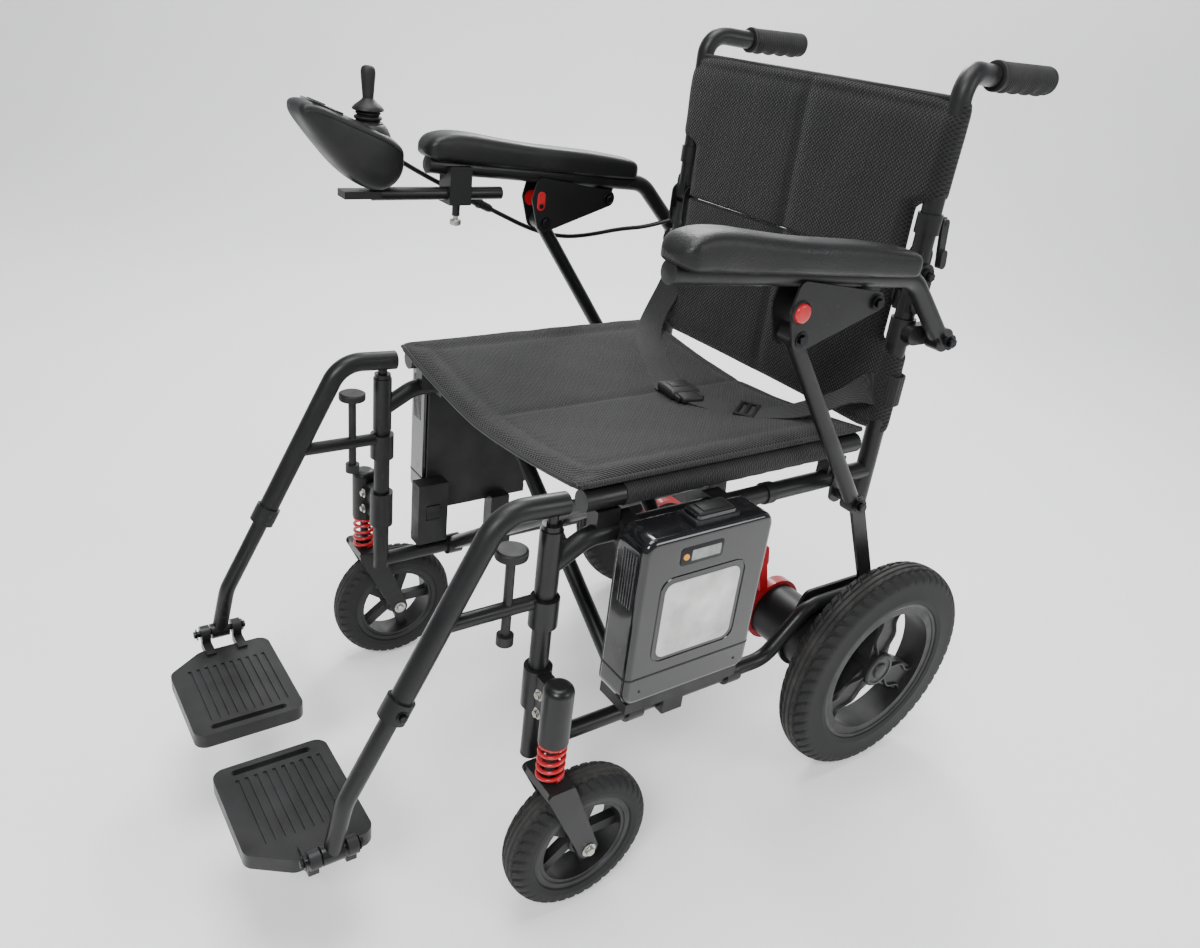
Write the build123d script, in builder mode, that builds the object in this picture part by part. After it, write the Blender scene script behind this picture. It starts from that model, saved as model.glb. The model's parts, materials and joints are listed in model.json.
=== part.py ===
"""Power wheelchair: folding cross-brace frame, two hub motors, swing-away leg rests.

Frame: +X is the chair's left, +Y is its back, +Z is up. The origin is on the floor,
under the middle of the whole chair. Millimetres.
"""
from build123d import *
from math import cos, radians, sin, tan
import os

os.makedirs("parts", exist_ok=True)

# ---- driving dimensions -------------------------------------------------------------
CLEAR = 0.3            # gap between neighbours that only touch
RUN = 0.05             # radial running clearance of a pin in its hole

# rear wheels
REAR_R = 157.0         # tyre radius
REAR_W = 49.0          # tyre width
REAR_X = 251.0         # middle plane of the wheel
REAR_Y = 333.5         # axle
REAR_RIM_R = 106.0     # rim radius under the tyre
AXLE_R = 8.0

# front castors
CASTOR_R = 90.0
CASTOR_W = 44.0
CASTOR_RIM_R = 62.0
CASTOR_X = 259.0       # stem
CASTOR_Y = -198.5
TRAIL = 45.0           # axle behind the stem
STEM_R = 6.0
PIVOT_R = 4.0          # fork's swivel pin in the stem
CASTOR_AXLE_R = 4.0
CROWN_Z = 197.0        # top of the fork crown
HOUSING_Z = 245.0      # bottom of the stem housing
HOUSING_R = 16.5
HOUSING_TOP = 318.0

# side frames
SIDE_X = 210.0         # plane of the side tubes
POST_Y = -193.5
POST_R = 10.5
POST_LOW, POST_HIGH = 188.0, 478.0
TUBE_R = 11.0          # upper side tube
LOW_R = 10.0           # lower side tube
UPPER_Z = 453.0
LOWER_Z = 197.0
BACK_Y = 266.5         # back posts
BACK_R = 11.5
BACK_LOW = 396.0
HINGE_Z = 702.0        # back folds here
RAIL_X, RAIL_Z, RAIL_R = 207.0, 494.0, 12.0
RAIL_FRONT, RAIL_REAR = -160.0, 236.0
CLIP_Y = (-130.0, 204.0)  # rests under the seat rail

# cross braces
BRACE_R = 10.0
BRACE_A_Y = (-82.0, 121.0)
BRACE_B_Y = (-57.0, 96.0)
RING_LONG = 22.0       # sleeve round the lower tube
BOLT_R = 4.0           # bolt where the braces cross

# motors
MOTOR_Y, MOTOR_Z, MOTOR_R = 246.5, 200.0, 40.0
MOTOR_IN, MOTOR_OUT = 115.0, 212.0
GEAR_IN, GEAR_OUT = 200.3, 224.0

# arm rests
ARM_X = 246.0
ARM_R = 11.0
ARM_PIVOT = (290.0, 634.0)
ARM_EAR = (146.0, 691.0)
LINK_TOP = (46.0, 660.0)
LINK_LOW = (210.0, 436.0)
LINK_R = 9.5
PAD_X, PAD_HALF = 251.0, 25.0
PLATE = 2.5            # arm-rest bracket plates

# leg rests
LEG_X = 207.0
LEG_R = 12.5
LEG_TUBE_R = 9.5
LEG_LEAN = 28.0        # degrees from upright
KNEE = (-302.5, 398.0)
COLLAR_Z = 296.0
LEG_BEND_Z = 206.0
FOOT_AXIS_Z = 147.0
FOOT_BOTTOM, FOOT_TOP = 115.0, 133.0
FOOT_FRONT, FOOT_REAR = -490.5, -363.5
FOOT_IN, FOOT_OUT = 30.0, 188.0
LATERAL_Z = 388.0
LATCH_Y = -235.5

# batteries
BATT_IN, BATT_OUT = 228.0, 274.0
BATT_FRONT, BATT_REAR = -124.5, 49.5
BATT_LOW, BATT_TOP = 268.0, 472.0
DOCK_IN, DOCK_OUT = 222.3, 226.0

# seat and back
SEAT_FRONT, SEAT_REAR = -171.0, 240.0
SEAT_EDGE, SEAT_SAG = 507.0, 24.0
SEAT_THICK = 16.0
SLING = 12.0           # back upholstery
SLEEVE_R = 14.6
BACK_TOP, BACK_BOTTOM = 888.0, 512.0

# controller
STICK_X = -238.0
STICK_Y = -203.0
STICK_ARM_Z = 699.0
STICK_ARM_R = 8.0


# ---- small tools --------------------------------------------------------------------
def across(x):
    """Plane square to the axle line, drawn in (Y, Z)."""
    return Plane((x, 0, 0), x_dir=(0, 1, 0), z_dir=(1, 0, 0))


def write(piece, label):
    piece.part.label = label
    export_step(piece.part, f"parts/{label}.step")


def write_pair(left, label):
    """Left piece, and the same one mirrored for the right."""
    write(left, "left_" + label)
    with BuildPart() as right:
        mirror(left.part, about=Plane.YZ)
    write(right, "right_" + label)


def bar(points, radius, bend=None, mode=Mode.ADD):
    """Round bar along straight runs that are joined by tangent arcs."""
    with BuildLine() as route:
        if len(points) == 2:
            Line(*points)
        else:
            FilletPolyline(*points, radius=bend)
    with BuildSketch(Plane(route.line @ 0, z_dir=route.line % 0)) as section:
        Circle(radius)
    sweep(section.sketch, path=route.wire(), mode=mode)


def side_bar(x, points, radius, bend=None, mode=Mode.ADD):
    bar([(x, y, z) for y, z in points], radius, bend, mode)


def pin_x(x0, x1, y, z, radius, mode=Mode.ADD):
    """Round pin or hole along X."""
    with BuildSketch(across(x0)) as section:
        with Locations((y, z)):
            Circle(radius)
    extrude(section.sketch, amount=x1 - x0, mode=mode)


def pin_z(x, y, z0, z1, radius, mode=Mode.ADD):
    with BuildSketch(Plane.XY.offset(z0)) as section:
        with Locations((x, y)):
            Circle(radius)
    extrude(section.sketch, amount=z1 - z0, mode=mode)


def pin_y(x, z, y0, y1, radius, mode=Mode.ADD):
    with BuildSketch(Plane((x, y0, z), x_dir=(1, 0, 0), z_dir=(0, 1, 0))) as section:
        Circle(radius)
    extrude(section.sketch, amount=y1 - y0, mode=mode)


def block(x, y, z, mode=Mode.ADD):
    """Box from three (low, high) pairs."""
    with Locations(((x[0] + x[1]) / 2, (y[0] + y[1]) / 2, (z[0] + z[1]) / 2)):
        Box(abs(x[1] - x[0]), abs(y[1] - y[0]), abs(z[1] - z[0]), mode=mode)


def hull_plate(x0, x1, circles, mode=Mode.ADD):
    """Flat plate along X whose outline wraps round discs given as (y, z, radius)."""
    with BuildSketch(across(x0)) as outline:
        for y, z, radius in circles:
            with Locations((y, z)):
                Circle(radius)
        make_hull()
    extrude(outline.sketch, amount=x1 - x0, mode=mode)


def wheel_plane(x, y, z):
    """Section plane through a wheel: local X is the axle line, local Y is up."""
    return Plane((x, y, z), x_dir=(1, 0, 0), z_dir=(0, -1, 0))


def axle_line(y, z):
    return Axis((0, y, z), (1, 0, 0))


def lean_point(z):
    """Point of the leg rest's sloping run at height z, as (y, z)."""
    return (KNEE[0] - (KNEE[1] - z) * tan(radians(LEG_LEAN)), z)


# ---- side frame ---------------------------------------------------------------------
def make_side_frame():
    with BuildPart() as frame:
        pin_z(SIDE_X, POST_Y, POST_LOW, POST_HIGH, POST_R)
        pin_z(SIDE_X, POST_Y, LATERAL_Z + 12, POST_HIGH - 6, POST_R + 1.5)
        upper = [(POST_Y, UPPER_Z - 24), (-150, UPPER_Z), (BACK_Y, UPPER_Z)]
        side_bar(SIDE_X, upper, TUBE_R, 40)
        lower = [(POST_Y, LOWER_Z), (158, LOWER_Z), (222, 259), (338, 259)]
        side_bar(SIDE_X, lower, LOW_R, 45)
        pin_y(SIDE_X, UPPER_Z, 92, 104, TUBE_R + 2)
        # back post, with the plates of its fold hinge
        pin_z(SIDE_X, BACK_Y, BACK_LOW, HINGE_Z - 12, BACK_R)
        for x0 in (SIDE_X - BACK_R - 3.5, SIDE_X + BACK_R + 0.5):
            hull_plate(x0, x0 + 3, [(BACK_Y, HINGE_Z, 13), (BACK_Y, HINGE_Z - 32, 13)])
        block((SIDE_X - 13, SIDE_X + 13), (BACK_Y - 10, BACK_Y + 10), (HINGE_Z - 44, HINGE_Z - 22))
        pin_x(SIDE_X - 18, SIDE_X + 18, BACK_Y, HINGE_Z, 4)
        pin_x(SIDE_X + 14, SIDE_X + 18, BACK_Y, HINGE_Z, 7)
        # strut from the back post to the axle plate
        hull_plate(SIDE_X - 2.5, SIDE_X + 2.5, [(BACK_Y, BACK_LOW + 12, 11), (331, 268, 11)])
        # axle plate, with the hole that the motor passes through
        plate_discs = [(235, 262, 12), (338, 259, 14), (REAR_Y, REAR_R, 26),
                       (MOTOR_Y, MOTOR_Z, MOTOR_R + 8)]
        hull_plate(SIDE_X - 14, SIDE_X - 10, plate_discs)
        block((SIDE_X - 12, SIDE_X), (300, 338), (252, 266))
        pin_x(SIDE_X - 15, SIDE_X - 9, MOTOR_Y, MOTOR_Z, MOTOR_R + CLEAR, Mode.SUBTRACT)
        # rests that the seat rail drops onto
        for y in CLIP_Y:
            block((RAIL_X - 9, RAIL_X + 9), (y - 14, y + 14), (UPPER_Z, RAIL_Z - RAIL_R - CLEAR))
        # arm-rest pivot behind the back post
        pin_z(SIDE_X, BACK_Y, ARM_PIVOT[1] - 15, ARM_PIVOT[1] + 15, BACK_R + 3)
        hull_plate(SIDE_X + 10, SIDE_X + 22, [(BACK_Y, ARM_PIVOT[1], 12), (*ARM_PIVOT, 12)])
        pin_x(SIDE_X + 20, ARM_X + 16, *ARM_PIVOT, 5)
        # lower pivot of the arm-rest link
        hull_plate(SIDE_X + 8, SIDE_X + 12, [(LINK_LOW[0], UPPER_Z, 14), (*LINK_LOW, 12)])
        pin_x(SIDE_X + 10, ARM_X + 13, *LINK_LOW, 5)
        # socket for the leg rest's pin
        pin_z(SIDE_X, POST_Y, POST_HIGH - 22, POST_HIGH, 6 + RUN, Mode.SUBTRACT)
    return frame


side_frame = make_side_frame()
write_pair(side_frame, "side_frame")


# ---- cross braces -------------------------------------------------------------------
def brace_line(side):
    """Brace that stands on the side -side and carries the rail on +side."""
    return Vector(-side * SIDE_X, 0, LOWER_Z), Vector(side * RAIL_X, 0, RAIL_Z)


def centre_height():
    return LOWER_Z + (RAIL_Z - LOWER_Z) * SIDE_X / (SIDE_X + RAIL_X)


def make_brace(side, rows):
    low, high = brace_line(side)
    with BuildPart() as brace:
        pin_y(side * RAIL_X, RAIL_Z, RAIL_FRONT, RAIL_REAR, RAIL_R)
        for y in rows:
            bar([(low.X, y, low.Z), (high.X, y, high.Z)], BRACE_R)
            pin_y(low.X, low.Z, y - RING_LONG / 2, y + RING_LONG / 2, LOW_R + 4.5)
            pin_y(low.X, low.Z, y - RING_LONG, y + RING_LONG, LOW_R + RUN, Mode.SUBTRACT)
    return brace


cross_brace_a = make_brace(1, BRACE_A_Y)
with cross_brace_a:
    for row_a, row_b in zip(BRACE_A_Y, BRACE_B_Y):
        ahead = row_a < row_b
        pin_y(0, centre_height(), row_a if ahead else row_b - 13, row_b + 13 if ahead else row_a, BOLT_R)
write(cross_brace_a, "cross_brace_a")

cross_brace_b = make_brace(-1, BRACE_B_Y)
with cross_brace_b:
    for row_b in BRACE_B_Y:
        pin_y(0, centre_height(), row_b - 14, row_b + 14, BOLT_R + RUN, Mode.SUBTRACT)
write(cross_brace_b, "cross_brace_b")


# ---- motors and clutch levers -------------------------------------------------------
with BuildPart() as motor:
    pin_x(MOTOR_IN, MOTOR_OUT, MOTOR_Y, MOTOR_Z, MOTOR_R)
    hull_plate(GEAR_IN, GEAR_OUT, [(MOTOR_Y, MOTOR_Z, 42), (REAR_Y, REAR_R, 34)])
    pin_x(GEAR_OUT - 4, REAR_X + 12, REAR_Y, REAR_R, AXLE_R)
    fillet(motor.faces().sort_by(Axis.X)[0].edges(), radius=6)
write_pair(motor, "motor")

with BuildPart() as clutch_lever:
    pin_x(120, 135, MOTOR_Y, MOTOR_Z, MOTOR_R + 6)
    pin_x(118, 137, MOTOR_Y, MOTOR_Z, MOTOR_R + CLEAR, Mode.SUBTRACT)
    hull_plate(123, 131, [(MOTOR_Y - 24, MOTOR_Z + 38, 7), (MOTOR_Y - 36, 285, 7)])
    hull_plate(121, 133, [(MOTOR_Y - 36, 284, 8), (MOTOR_Y - 40, 304, 8)])
    pin_x(118, 137, MOTOR_Y, MOTOR_Z, MOTOR_R + CLEAR, Mode.SUBTRACT)
write_pair(clutch_lever, "clutch_lever")


# ---- rear wheels --------------------------------------------------------------------
def make_tyre(x, y, z, outer, inner, width):
    """Tyre with a rounded tread."""
    half = width / 2
    with BuildPart() as tyre:
        with BuildSketch(wheel_plane(x, y, z)) as section:
            with BuildLine():
                Polyline((-half + 5, inner), (-half, inner + 6), (-half, outer - half * 0.55))
                ThreePointArc((-half, outer - half * 0.55), (0, outer), (half, outer - half * 0.55))
                Polyline((half, outer - half * 0.55), (half, inner + 6), (half - 5, inner))
                Line((half - 5, inner), (-half + 5, inner))
            make_face()
        revolve(section.sketch, axis=axle_line(y, z))
    return tyre


rear_tyre = make_tyre(REAR_X, REAR_Y, REAR_R, REAR_R, REAR_RIM_R + CLEAR, REAR_W)
write_pair(rear_tyre, "rear_tyre")

RIM_HALF = REAR_W / 2 - 5
HUB_IN = REAR_X - REAR_W / 2 + 1.0
SPOKE_HALF = 20.0
with BuildPart() as rear_rim:
    with BuildSketch(wheel_plane(REAR_X, REAR_Y, REAR_R)) as ring_section:
        with BuildLine():
            Polyline((-RIM_HALF, 92), (RIM_HALF, 92), (RIM_HALF, REAR_RIM_R),
                     (-RIM_HALF, REAR_RIM_R), (-RIM_HALF, 92))
        make_face()
    revolve(ring_section.sketch, axis=axle_line(REAR_Y, REAR_R))
    pin_x(HUB_IN, REAR_X + 16, REAR_Y, REAR_R, 26)
    for turn in (90, 210, 330):
        spoke_plane = Plane((REAR_X - 12, REAR_Y, REAR_R), x_dir=(0, cos(radians(turn)), sin(radians(turn))),
                            z_dir=(1, 0, 0))
        with BuildSketch(spoke_plane) as spoke:
            with Locations((57, 0)):
                Rectangle(78, 2 * SPOKE_HALF)
        extrude(spoke.sketch, amount=22)
        with BuildSketch(spoke_plane.offset(10)) as channel:
            with Locations((60, 0)):
                RectangleRounded(56, 2 * SPOKE_HALF - 9, 5)
        extrude(channel.sketch, amount=14, mode=Mode.SUBTRACT)
    pin_x(HUB_IN - 2, REAR_X + 12 + 2, REAR_Y, REAR_R, AXLE_R + RUN, Mode.SUBTRACT)
write_pair(rear_rim, "rear_rim")


# ---- castors ------------------------------------------------------------------------
with BuildPart() as castor_housing:
    pin_z(CASTOR_X, CASTOR_Y, HOUSING_Z, HOUSING_TOP, HOUSING_R)
    fillet(castor_housing.faces().sort_by(Axis.Z)[-1].edges(), radius=9)
    pin_z(SIDE_X, POST_Y, 256, 306, POST_R + 5)
    block((SIDE_X, CASTOR_X), (POST_Y - 9, POST_Y + 7), (258, 304))
    pin_z(SIDE_X, POST_Y, 250, 310, POST_R + CLEAR, Mode.SUBTRACT)
    pin_z(CASTOR_X, CASTOR_Y, HOUSING_Z, 309, STEM_R + RUN, Mode.SUBTRACT)
write_pair(castor_housing, "castor_housing")

with BuildPart() as castor_stem:
    # slides in the housing; the fork swivels on its lower end
    pin_z(CASTOR_X, CASTOR_Y, CROWN_Z, 292, STEM_R)
    pin_z(CASTOR_X, CASTOR_Y, CROWN_Z - 2, CROWN_Z + 11, PIVOT_R + RUN, Mode.SUBTRACT)
write_pair(castor_stem, "castor_stem")

with BuildPart() as castor_spring:
    pin_z(CASTOR_X, CASTOR_Y, CROWN_Z + CLEAR, HOUSING_Z - CLEAR, 16)
    pin_z(CASTOR_X, CASTOR_Y, CROWN_Z, HOUSING_Z, 10, Mode.SUBTRACT)
write_pair(castor_spring, "castor_spring")

AXLE_Y = CASTOR_Y + TRAIL
LEG_IN = CASTOR_W / 2 + 2.5
with BuildPart() as castor_fork:
    block((CASTOR_X - LEG_IN, CASTOR_X + LEG_IN), (CASTOR_Y - 15, CASTOR_Y + 15), (CROWN_Z - 12, CROWN_Z))
    for x0 in (CASTOR_X - LEG_IN - 4, CASTOR_X + LEG_IN):
        with BuildSketch(across(x0)) as cheek:
            for cy, cz, cr in ((CASTOR_Y - 11, CROWN_Z - 6, 6), (CASTOR_Y + 11, CROWN_Z - 6, 6),
                               (AXLE_Y, CASTOR_R, 12)):
                with Locations((cy, cz)):
                    Circle(cr)
            make_hull()
        extrude(cheek.sketch, amount=4)
    pin_z(CASTOR_X, CASTOR_Y, CROWN_Z - 2, CROWN_Z + 10, PIVOT_R)
    pin_x(CASTOR_X - LEG_IN - 6.5, CASTOR_X + LEG_IN + 6.5, AXLE_Y, CASTOR_R, CASTOR_AXLE_R)
write_pair(castor_fork, "castor_fork")

castor_tyre = make_tyre(CASTOR_X, AXLE_Y, CASTOR_R, CASTOR_R, CASTOR_RIM_R + CLEAR, CASTOR_W)
write_pair(castor_tyre, "castor_tyre")

with BuildPart() as castor_rim:
    with BuildSketch(wheel_plane(CASTOR_X, AXLE_Y, CASTOR_R)) as rim_section:
        with BuildLine():
            Polyline((-17, 52), (17, 52), (17, CASTOR_RIM_R), (-17, CASTOR_RIM_R), (-17, 52))
        make_face()
    revolve(rim_section.sketch, axis=axle_line(AXLE_Y, CASTOR_R))
    pin_x(CASTOR_X - LEG_IN + 1, CASTOR_X + LEG_IN - 1, AXLE_Y, CASTOR_R, 13)
    for turn in range(0, 360, 72):
        spoke_plane = Plane((CASTOR_X - 6, AXLE_Y, CASTOR_R), x_dir=(0, cos(radians(turn)), sin(radians(turn))),
                            z_dir=(1, 0, 0))
        with BuildSketch(spoke_plane) as spoke:
            with Locations((32, 0)):
                Rectangle(44, 13)
        extrude(spoke.sketch, amount=12)
    pin_x(CASTOR_X - LEG_IN, CASTOR_X + LEG_IN, AXLE_Y, CASTOR_R, CASTOR_AXLE_R + RUN, Mode.SUBTRACT)
write_pair(castor_rim, "castor_rim")


# ---- folding back -------------------------------------------------------------------
with BuildPart() as back_post_upper:
    handle = [(SIDE_X, BACK_Y, HINGE_Z + 12), (SIDE_X, BACK_Y, 914), (198, 322, 911), (198, 424, 911)]
    bar(handle, BACK_R, [26, 40])
    hull_plate(SIDE_X - 9, SIDE_X + 9, [(BACK_Y, HINGE_Z, 10.5), (BACK_Y, HINGE_Z + 20, 10.5)])
    pin_x(SIDE_X - 20, SIDE_X + 20, BACK_Y, HINGE_Z, 4 + RUN, Mode.SUBTRACT)
    pin_z(SIDE_X, BACK_Y, 746, 768, BACK_R + 2.5)
    block((SIDE_X - 4, SIDE_X + 4), (BACK_Y + 10, BACK_Y + 26), (750, 764))
    pin_x(SIDE_X - 9, SIDE_X + 9, BACK_Y + 21, 757, 2.5)
write_pair(back_post_upper, "back_post_upper")

with BuildPart() as back_fold_lever:
    hull_plate(SIDE_X + 4.3, SIDE_X + 8.3, [(BACK_Y + 21, 757, 6), (BACK_Y + 27, 722, 5)])
    pin_x(SIDE_X + 4, SIDE_X + 10, BACK_Y + 21, 757, 2.5 + RUN, Mode.SUBTRACT)
    hull_plate(SIDE_X + 4.3, SIDE_X + 12.3, [(BACK_Y + 27, 724, 5), (BACK_Y + 29, 712, 5)])
write_pair(back_fold_lever, "back_fold_lever")

with BuildPart() as push_grip:
    pin_y(198, 911, 330, 430, 16)
    for rib in range(6):
        pin_y(198, 911, 340 + rib * 14, 346 + rib * 14, 16.6)
    pin_y(198, 911, 320, 424 + CLEAR, BACK_R + CLEAR / 2, Mode.SUBTRACT)
write_pair(push_grip, "push_grip")


# ---- arm rests ----------------------------------------------------------------------
ARM_BEND = (214.0, 709.0)
with BuildPart() as armrest_tube:
    side_bar(ARM_X, [(-122.0, 733.0), ARM_BEND, ARM_PIVOT], ARM_R, 45)
    pin_x(ARM_X - 9, ARM_X + 9, *ARM_PIVOT, 14)
    pin_x(ARM_X - 20, ARM_X + 20, *ARM_PIVOT, 5 + RUN, Mode.SUBTRACT)
    hull_plate(ARM_X - 4, ARM_X + 4, [(ARM_EAR[0] - 8, 710, 9), (ARM_EAR[0] + 8, 710, 9), (*ARM_EAR, 10)])
    pin_x(ARM_X - 20, ARM_X + 20, *ARM_EAR, 4 + RUN, Mode.SUBTRACT)
write_pair(armrest_tube, "armrest_tube")

with BuildPart() as armrest_pad:
    with BuildSketch(across(PAD_X - PAD_HALF)) as pad_side:
        with BuildLine():
            top = [(-136, 740), (-132, 762), (-95, 771), (0, 760), (120, 749), (196, 738), (200, 726)]
            Spline(*top)
            Polyline(top[-1], (196, 722.2), (-130, 745.2), top[0])
        make_face()
    extrude(pad_side.sketch, amount=2 * PAD_HALF)
    ends = armrest_pad.edges().filter_by(lambda e: e.length > 250)
    fillet(ends.group_by(Axis.Z)[-1], radius=6)
write_pair(armrest_pad, "armrest_pad")

with BuildPart() as armrest_bracket:
    # two cheeks, a bridge below the tube and the pin in the arm rest's ear
    cheek_discs = [(*ARM_EAR, 11), (*LINK_TOP, 13), (38, 710, 9), (34, 690, 10)]
    hull_plate(ARM_X + 12, ARM_X + 12 + PLATE, cheek_discs)
    hull_plate(ARM_X - 12 - PLATE, ARM_X - 12, cheek_discs)
    pin_x(ARM_X - 17, ARM_X + 17, *ARM_EAR, 4)
    block((ARM_X - 13, ARM_X + 13), (80, 118), (674, 680))
    pin_x(ARM_X + 9, ARM_X + 16, 37.5, 688, 7.5 + RUN, Mode.SUBTRACT)
write_pair(armrest_bracket, "armrest_bracket")

with BuildPart() as armrest_button:
    pin_x(ARM_X + 12.3, ARM_X + 18.5, 37.5, 688, 7.4)
    fillet(armrest_button.faces().sort_by(Axis.X)[-1].edges(), radius=1.5)
    pin_x(ARM_X + 10, ARM_X + 12.5, 37.5, 688, 5)
write_pair(armrest_button, "armrest_button")

with BuildPart() as armrest_link:
    side_bar(ARM_X, [LINK_LOW, LINK_TOP], LINK_R)
    pin_x(ARM_X - 9, ARM_X + 9, *LINK_LOW, 12)
    pin_x(ARM_X - 9, ARM_X + 9, *LINK_TOP, 11)
    pin_x(ARM_X - 20, ARM_X + 20, *LINK_LOW, 5 + RUN, Mode.SUBTRACT)
    pin_x(ARM_X - 20, ARM_X + 20, *LINK_TOP, 4.5, Mode.SUBTRACT)
write_pair(armrest_link, "armrest_link")


# ---- leg rests ----------------------------------------------------------------------
with BuildPart() as legrest_hanger:
    run = [(-178.0, 496.0), (-250.0, 499.5), lean_point(COLLAR_Z)]
    side_bar(LEG_X, run, LEG_R - 0.5, 42)
    bore_top = lean_point(COLLAR_Z + 112)
    side_bar(LEG_X, [lean_point(COLLAR_Z + 20), lean_point(COLLAR_Z)], LEG_R + 2.5)
    lean_mid = lean_point(LATERAL_Z)
    pin_y(LEG_X, LATERAL_Z, lean_mid[0], POST_Y - 12, 8)
    pin_z(SIDE_X, POST_Y, LATERAL_Z - 29, LATERAL_Z + 5, POST_R + 5)
    pin_z(SIDE_X, POST_Y, LATERAL_Z - 40, LATERAL_Z + 11, POST_R + RUN, Mode.SUBTRACT)
    pin_z(SIDE_X, POST_Y, POST_HIGH - 16, 494, 6)
    side_bar(LEG_X, [lean_point(COLLAR_Z - 5), bore_top], LEG_TUBE_R + RUN, mode=Mode.SUBTRACT)
    pin_z(LEG_X, LATCH_Y, LATERAL_Z - 12, LATERAL_Z + 12, 5 + RUN, Mode.SUBTRACT)
write_pair(legrest_hanger, "legrest_hanger")

with BuildPart() as legrest_latch:
    pin_z(LEG_X, LATCH_Y, 348, 452, 5)
    pin_z(LEG_X, LATCH_Y, 449, 458, 16.5)
    fillet(legrest_latch.faces().sort_by(Axis.Z)[-1].edges(), radius=3)
    pin_z(LEG_X, LATCH_Y, 346, 357, 9)
write_pair(legrest_latch, "legrest_latch")

FOOT_HINGE_Y = -417.5
with BuildPart() as legrest_tube:
    leg_run = [lean_point(COLLAR_Z + 74), lean_point(LEG_BEND_Z), (FOOT_HINGE_Y, FOOT_AXIS_Z)]
    side_bar(LEG_X, leg_run, LEG_TUBE_R, 60)
    pin_y(LEG_X, FOOT_AXIS_Z, FOOT_HINGE_Y - 11, FOOT_HINGE_Y + 11, 10)
    pin_y(LEG_X, FOOT_AXIS_Z, FOOT_HINGE_Y - 28, FOOT_HINGE_Y + 28, 4)
write_pair(legrest_tube, "legrest_tube")

with BuildPart() as footplate:
    with BuildSketch(Plane.XY.offset(FOOT_BOTTOM)) as tread:
        with BuildLine():
            Polyline((FOOT_IN, FOOT_FRONT), (FOOT_OUT - 30, FOOT_FRONT), (FOOT_OUT, FOOT_FRONT + 42),
                     (FOOT_OUT, FOOT_REAR), (FOOT_IN, FOOT_REAR), (FOOT_IN, FOOT_FRONT))
        make_face()
        fillet(tread.vertices(), radius=14)
    extrude(tread.sketch, amount=FOOT_TOP - FOOT_BOTTOM)
    for groove in range(10):
        y_groove = FOOT_FRONT + 20 + groove * 10
        block((FOOT_IN + 24, FOOT_OUT - 34), (y_groove, y_groove + 4),
              (FOOT_TOP - 1.5, FOOT_TOP + 1), Mode.SUBTRACT)
    with BuildSketch(Plane.XY.offset(FOOT_BOTTOM - 1)) as grab:
        with Locations((FOOT_IN + 12, (FOOT_FRONT + FOOT_REAR) / 2)):
            SlotOverall(88, 8, rotation=90)
    extrude(grab.sketch, amount=FOOT_TOP - FOOT_BOTTOM + 2, mode=Mode.SUBTRACT)
    for y_ear in (FOOT_HINGE_Y - 24, FOOT_HINGE_Y + 15):
        block((FOOT_OUT - 14, LEG_X), (y_ear, y_ear + 11), (FOOT_TOP - 8, FOOT_AXIS_Z - LEG_TUBE_R - 1))
        block((LEG_X - 8, LEG_X), (y_ear, y_ear + 11), (FOOT_TOP - 8, FOOT_AXIS_Z - 4))
        pin_y(LEG_X, FOOT_AXIS_Z, y_ear, y_ear + 11, 10)
    pin_y(LEG_X, FOOT_AXIS_Z, FOOT_HINGE_Y - 40, FOOT_HINGE_Y + 40, 4 + RUN, Mode.SUBTRACT)
write_pair(footplate, "footplate")


# ---- batteries and their docks ------------------------------------------------------
def make_battery():
    with BuildPart() as battery:
        with BuildSketch(across(BATT_IN)) as case:
            with Locations(((BATT_FRONT + BATT_REAR) / 2, (BATT_LOW + BATT_TOP) / 2)):
                RectangleRounded(BATT_REAR - BATT_FRONT, BATT_TOP - BATT_LOW, 16)
        extrude(case.sketch, amount=BATT_OUT - BATT_IN)
        fillet(battery.faces().sort_by(Axis.X)[-1].edges(), radius=7)
        fillet(battery.faces().sort_by(Axis.X)[0].edges(), radius=3)
        with BuildSketch(Plane.XY.offset(BATT_TOP - 4)) as handle_foot:
            with Locations(((BATT_IN + BATT_OUT) / 2, -26)):
                RectangleRounded(26, 56, 6)
        extrude(handle_foot.sketch, amount=14)
    return battery


battery = make_battery()
write_pair(battery, "battery")


def make_dock(is_right):
    """Dock on the left side, or on the right side with the power box."""
    with BuildPart() as dock:
        with BuildSketch(across(DOCK_IN)) as back:
            with Locations(((BATT_FRONT + BATT_REAR) / 2, (BATT_LOW + BATT_TOP) / 2 - 4)):
                RectangleRounded(BATT_REAR - BATT_FRONT - 8, BATT_TOP - BATT_LOW - 4, 14)
        extrude(back.sketch, amount=DOCK_OUT - DOCK_IN)
        # tray under the battery
        block((DOCK_IN, BATT_OUT - 4), (BATT_FRONT + 8, BATT_REAR - 8), (BATT_LOW - 14, BATT_LOW - CLEAR))
        # saddles on the side tubes
        for y in (-104.0, 22.0):
            block((SIDE_X - 14, DOCK_IN + 1), (y - 12, y + 12), (UPPER_Z - 14, UPPER_Z + 14))
            pin_y(SIDE_X, UPPER_Z, y - 14, y + 14, TUBE_R + CLEAR, Mode.SUBTRACT)
        block((SIDE_X - 4, DOCK_IN + 6), (-22, 8), (LOWER_Z, BATT_LOW - 6))
        block((SIDE_X - 14, DOCK_IN + 6), (-22, 8), (LOWER_Z - 10, LOWER_Z + 14))
        pin_y(SIDE_X, LOWER_Z, -24, 10, LOW_R + CLEAR, Mode.SUBTRACT)
        if is_right:
            block((SIDE_X - 10, DOCK_IN + 2), (-142, -97), (212, 306))
            block((SIDE_X - 11, SIDE_X - 5), (-130, -109), (250, 274), Mode.SUBTRACT)
            pin_y(SIDE_X - 7.5, 262, -130, -109, 1.5)
    return dock


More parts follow.
